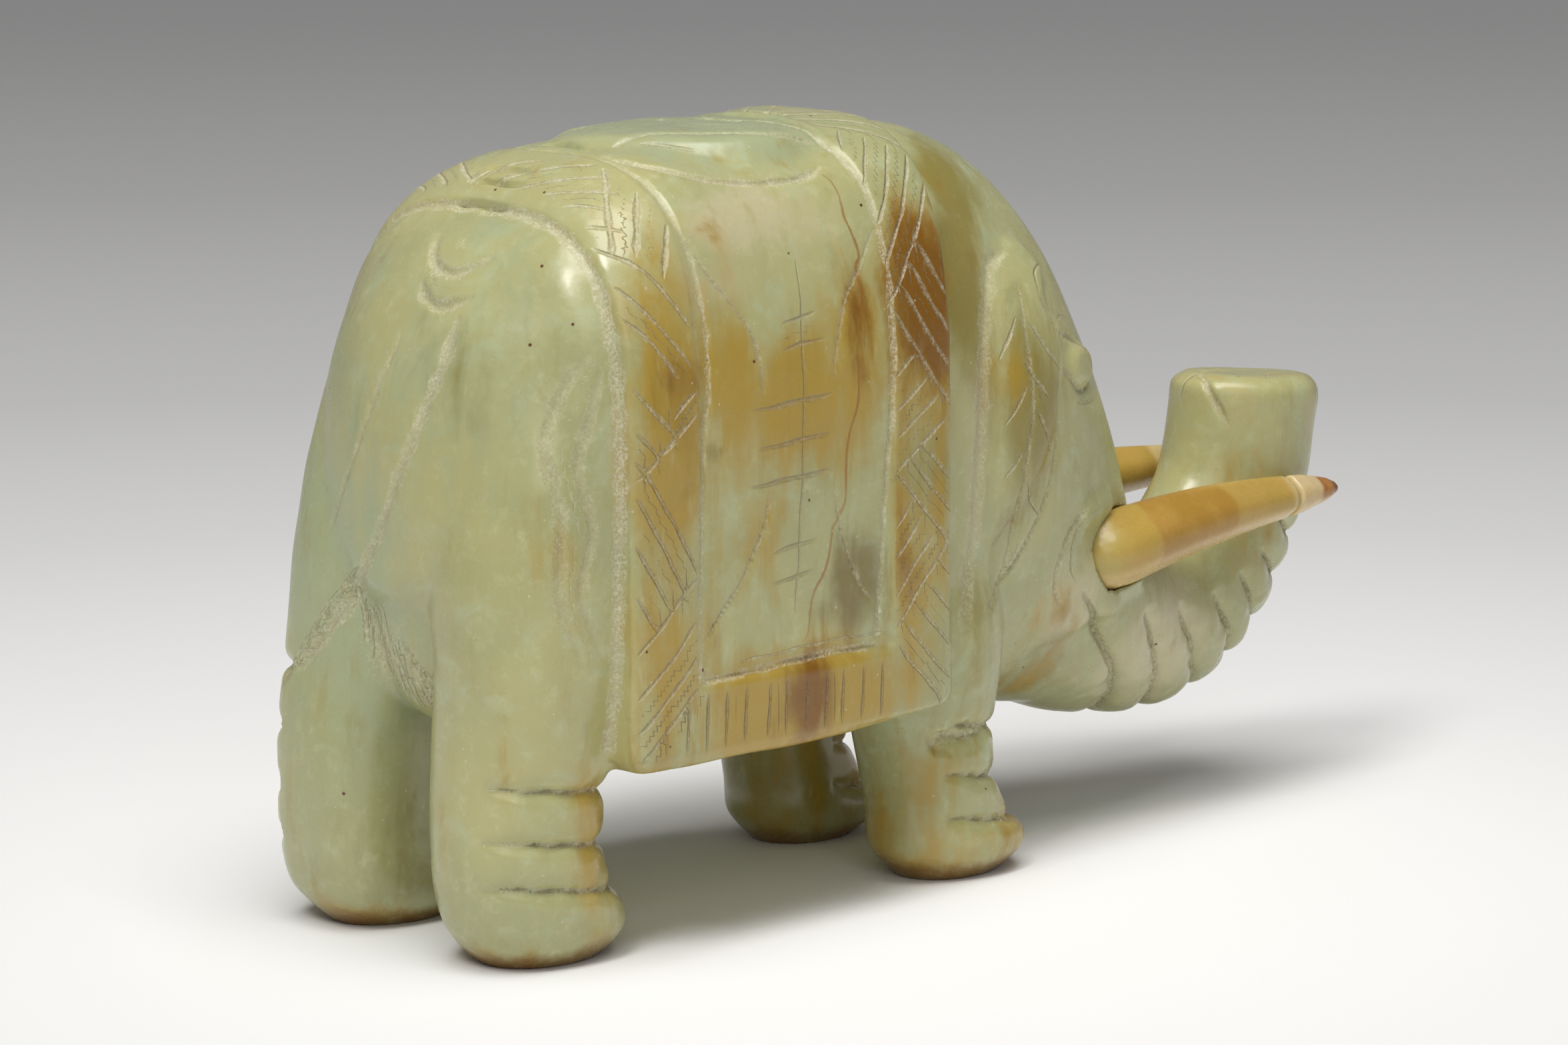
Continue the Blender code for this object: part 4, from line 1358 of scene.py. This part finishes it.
TARGET = Vector((0.0016, 0.0084, 0.035))
CAMERA_AZIMUTH = 229.0
CAMERA_ELEVATION = 9.3
CAMERA_DISTANCE = 0.46
FOCAL_LENGTH = 107.73           # on a film 36 mm wide
LENS_SHIFT = (-0.0085, -0.0062)
MIDDLE_OF_OBJECT = Vector((0.0, 0.0, 0.035))


def direction(azimuth, elevation):
    """Return the way from the object to a viewer."""
    a, e = math.radians(azimuth), math.radians(elevation)
    return Vector((math.sin(a) * math.cos(e), -math.cos(a) * math.cos(e), math.sin(e)))


def camera():
    """Long lens a little above the animal, behind its right side."""
    lens = bpy.data.cameras.new("camera")
    lens.sensor_width = 36.0
    lens.lens = FOCAL_LENGTH
    lens.shift_x, lens.shift_y = LENS_SHIFT
    lens.clip_start, lens.clip_end = 0.01, 20.0
    eye = bpy.data.objects.new("camera", lens)
    back = direction(CAMERA_AZIMUTH, CAMERA_ELEVATION)
    eye.location = TARGET + back * CAMERA_DISTANCE
    eye.rotation_euler = (-back).to_track_quat("-Z", "Y").to_euler()
    bpy.context.scene.collection.objects.link(eye)
    bpy.context.scene.camera = eye


def soft_box(name, towards, away, size, power, tone=(1.0, 1.0, 1.0)):
    """Rectangular studio light aimed at the object."""
    lamp = bpy.data.lights.new(name, "AREA")
    lamp.shape = "RECTANGLE"
    lamp.size, lamp.size_y = size
    lamp.energy = power
    lamp.color = tone
    made = bpy.data.objects.new(name, lamp)
    towards = Vector(towards).normalized()
    made.location = MIDDLE_OF_OBJECT + towards * away
    made.rotation_euler = (-towards).to_track_quat("-Z", "Y").to_euler()
    bpy.context.scene.collection.objects.link(made)


def stage():
    """Round sweep of pale paper with a rising rim."""
    flat, bend, wall = 2.4, 0.8, 1.6
    profile = [(r, 0.0) for r in (0.02, 0.1, 0.3, 0.7, 1.4, flat)]
    turns = np.linspace(0.2, math.pi / 2, 10)
    profile += [(flat + bend * math.sin(t), bend * (1 - math.cos(t))) for t in turns]
    profile.append((flat + bend, bend + wall))
    sides = 96
    vertices, faces = [(0.0, 0.0, 0.0)], []
    for r, z in profile:
        for i in range(sides):
            turn = 2 * math.pi * i / sides
            vertices.append((r * math.cos(turn), r * math.sin(turn), z))
    for i in range(sides):
        faces.append((0, 1 + i, 1 + (i + 1) % sides))
    faces += [face[::-1] for face in ring_faces(len(profile), sides, first=1)]
    mesh = bpy.data.meshes.new("paper_sweep")
    mesh.from_pydata(vertices, [], faces)
    mesh.shade_smooth()
    sweep = bpy.data.objects.new("paper_sweep", mesh)
    bpy.context.scene.collection.objects.link(sweep)
    mesh.materials.append(paper_with_painted_falloff())


def light():
    """Large key almost overhead, a window behind the rump, a weak fill, and an even grey room."""
    soft_box("key", (-0.2, 0.08, 1.0), 1.1, (0.72, 0.72), 8.8, (1.0, 0.99, 0.965))
    soft_box("window", (-0.22, 0.58, 0.82), 1.2, (0.26, 0.42), 5.3, (1.0, 0.99, 0.97))
    soft_box("fill", direction(236.0, 30.0), 1.4, (0.8, 0.8), 2.6)
    room = bpy.data.worlds.new("room")
    room.use_nodes = True
    air = room.node_tree.nodes["Background"]
    air.inputs["Color"].default_value = (1.0, 1.0, 1.0, 1.0)
    air.inputs["Strength"].default_value = 0.1
    bpy.context.scene.world = room
    bpy.context.scene.view_settings.view_transform = "Standard"


# ---------------------------------------------------------------- assembly

def build():
    """Make every visible piece in the CAD frame."""
    block = stone_block()
    polish(block.data, POLISH_ROUNDS)
    drill_sockets(block)
    carve(block)
    block.data.transform(Matrix.Translation(INTO_FRAME))
    block.data.materials.clear()
    block.data.materials.append(jade())
    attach(block, "root")
    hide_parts("carved_body")
    bands = (srgb(186, 156, 74), srgb(172, 132, 52), srgb(182, 152, 74), srgb(206, 184, 128))
    honey = tusk_stone("honey_stone", bands, (0.2, 0.52, 0.77))
    bands = (srgb(206, 186, 140), srgb(158, 92, 36), srgb(110, 54, 24))
    russet = tusk_stone("russet_stone", bands, (0.91, 0.97))
    for name, side, start, end, look, slot in (
            ("right_tusk", RIGHT, 0.0, BOND[0], honey, "honey_stone"),
            ("right_tusk_tip", RIGHT, BOND[1], 1.0, russet, "russet_stone"),
            ("left_tusk", LEFT, 0.0, 1.0, honey, "honey_stone")):
        piece = tusk(name + "_stone", side, start, end)
        piece.data.transform(Matrix.Translation(INTO_FRAME))
        piece.data.materials.append(look)
        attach(piece, "root")
        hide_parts(name)


build()
stage()
light()
camera()
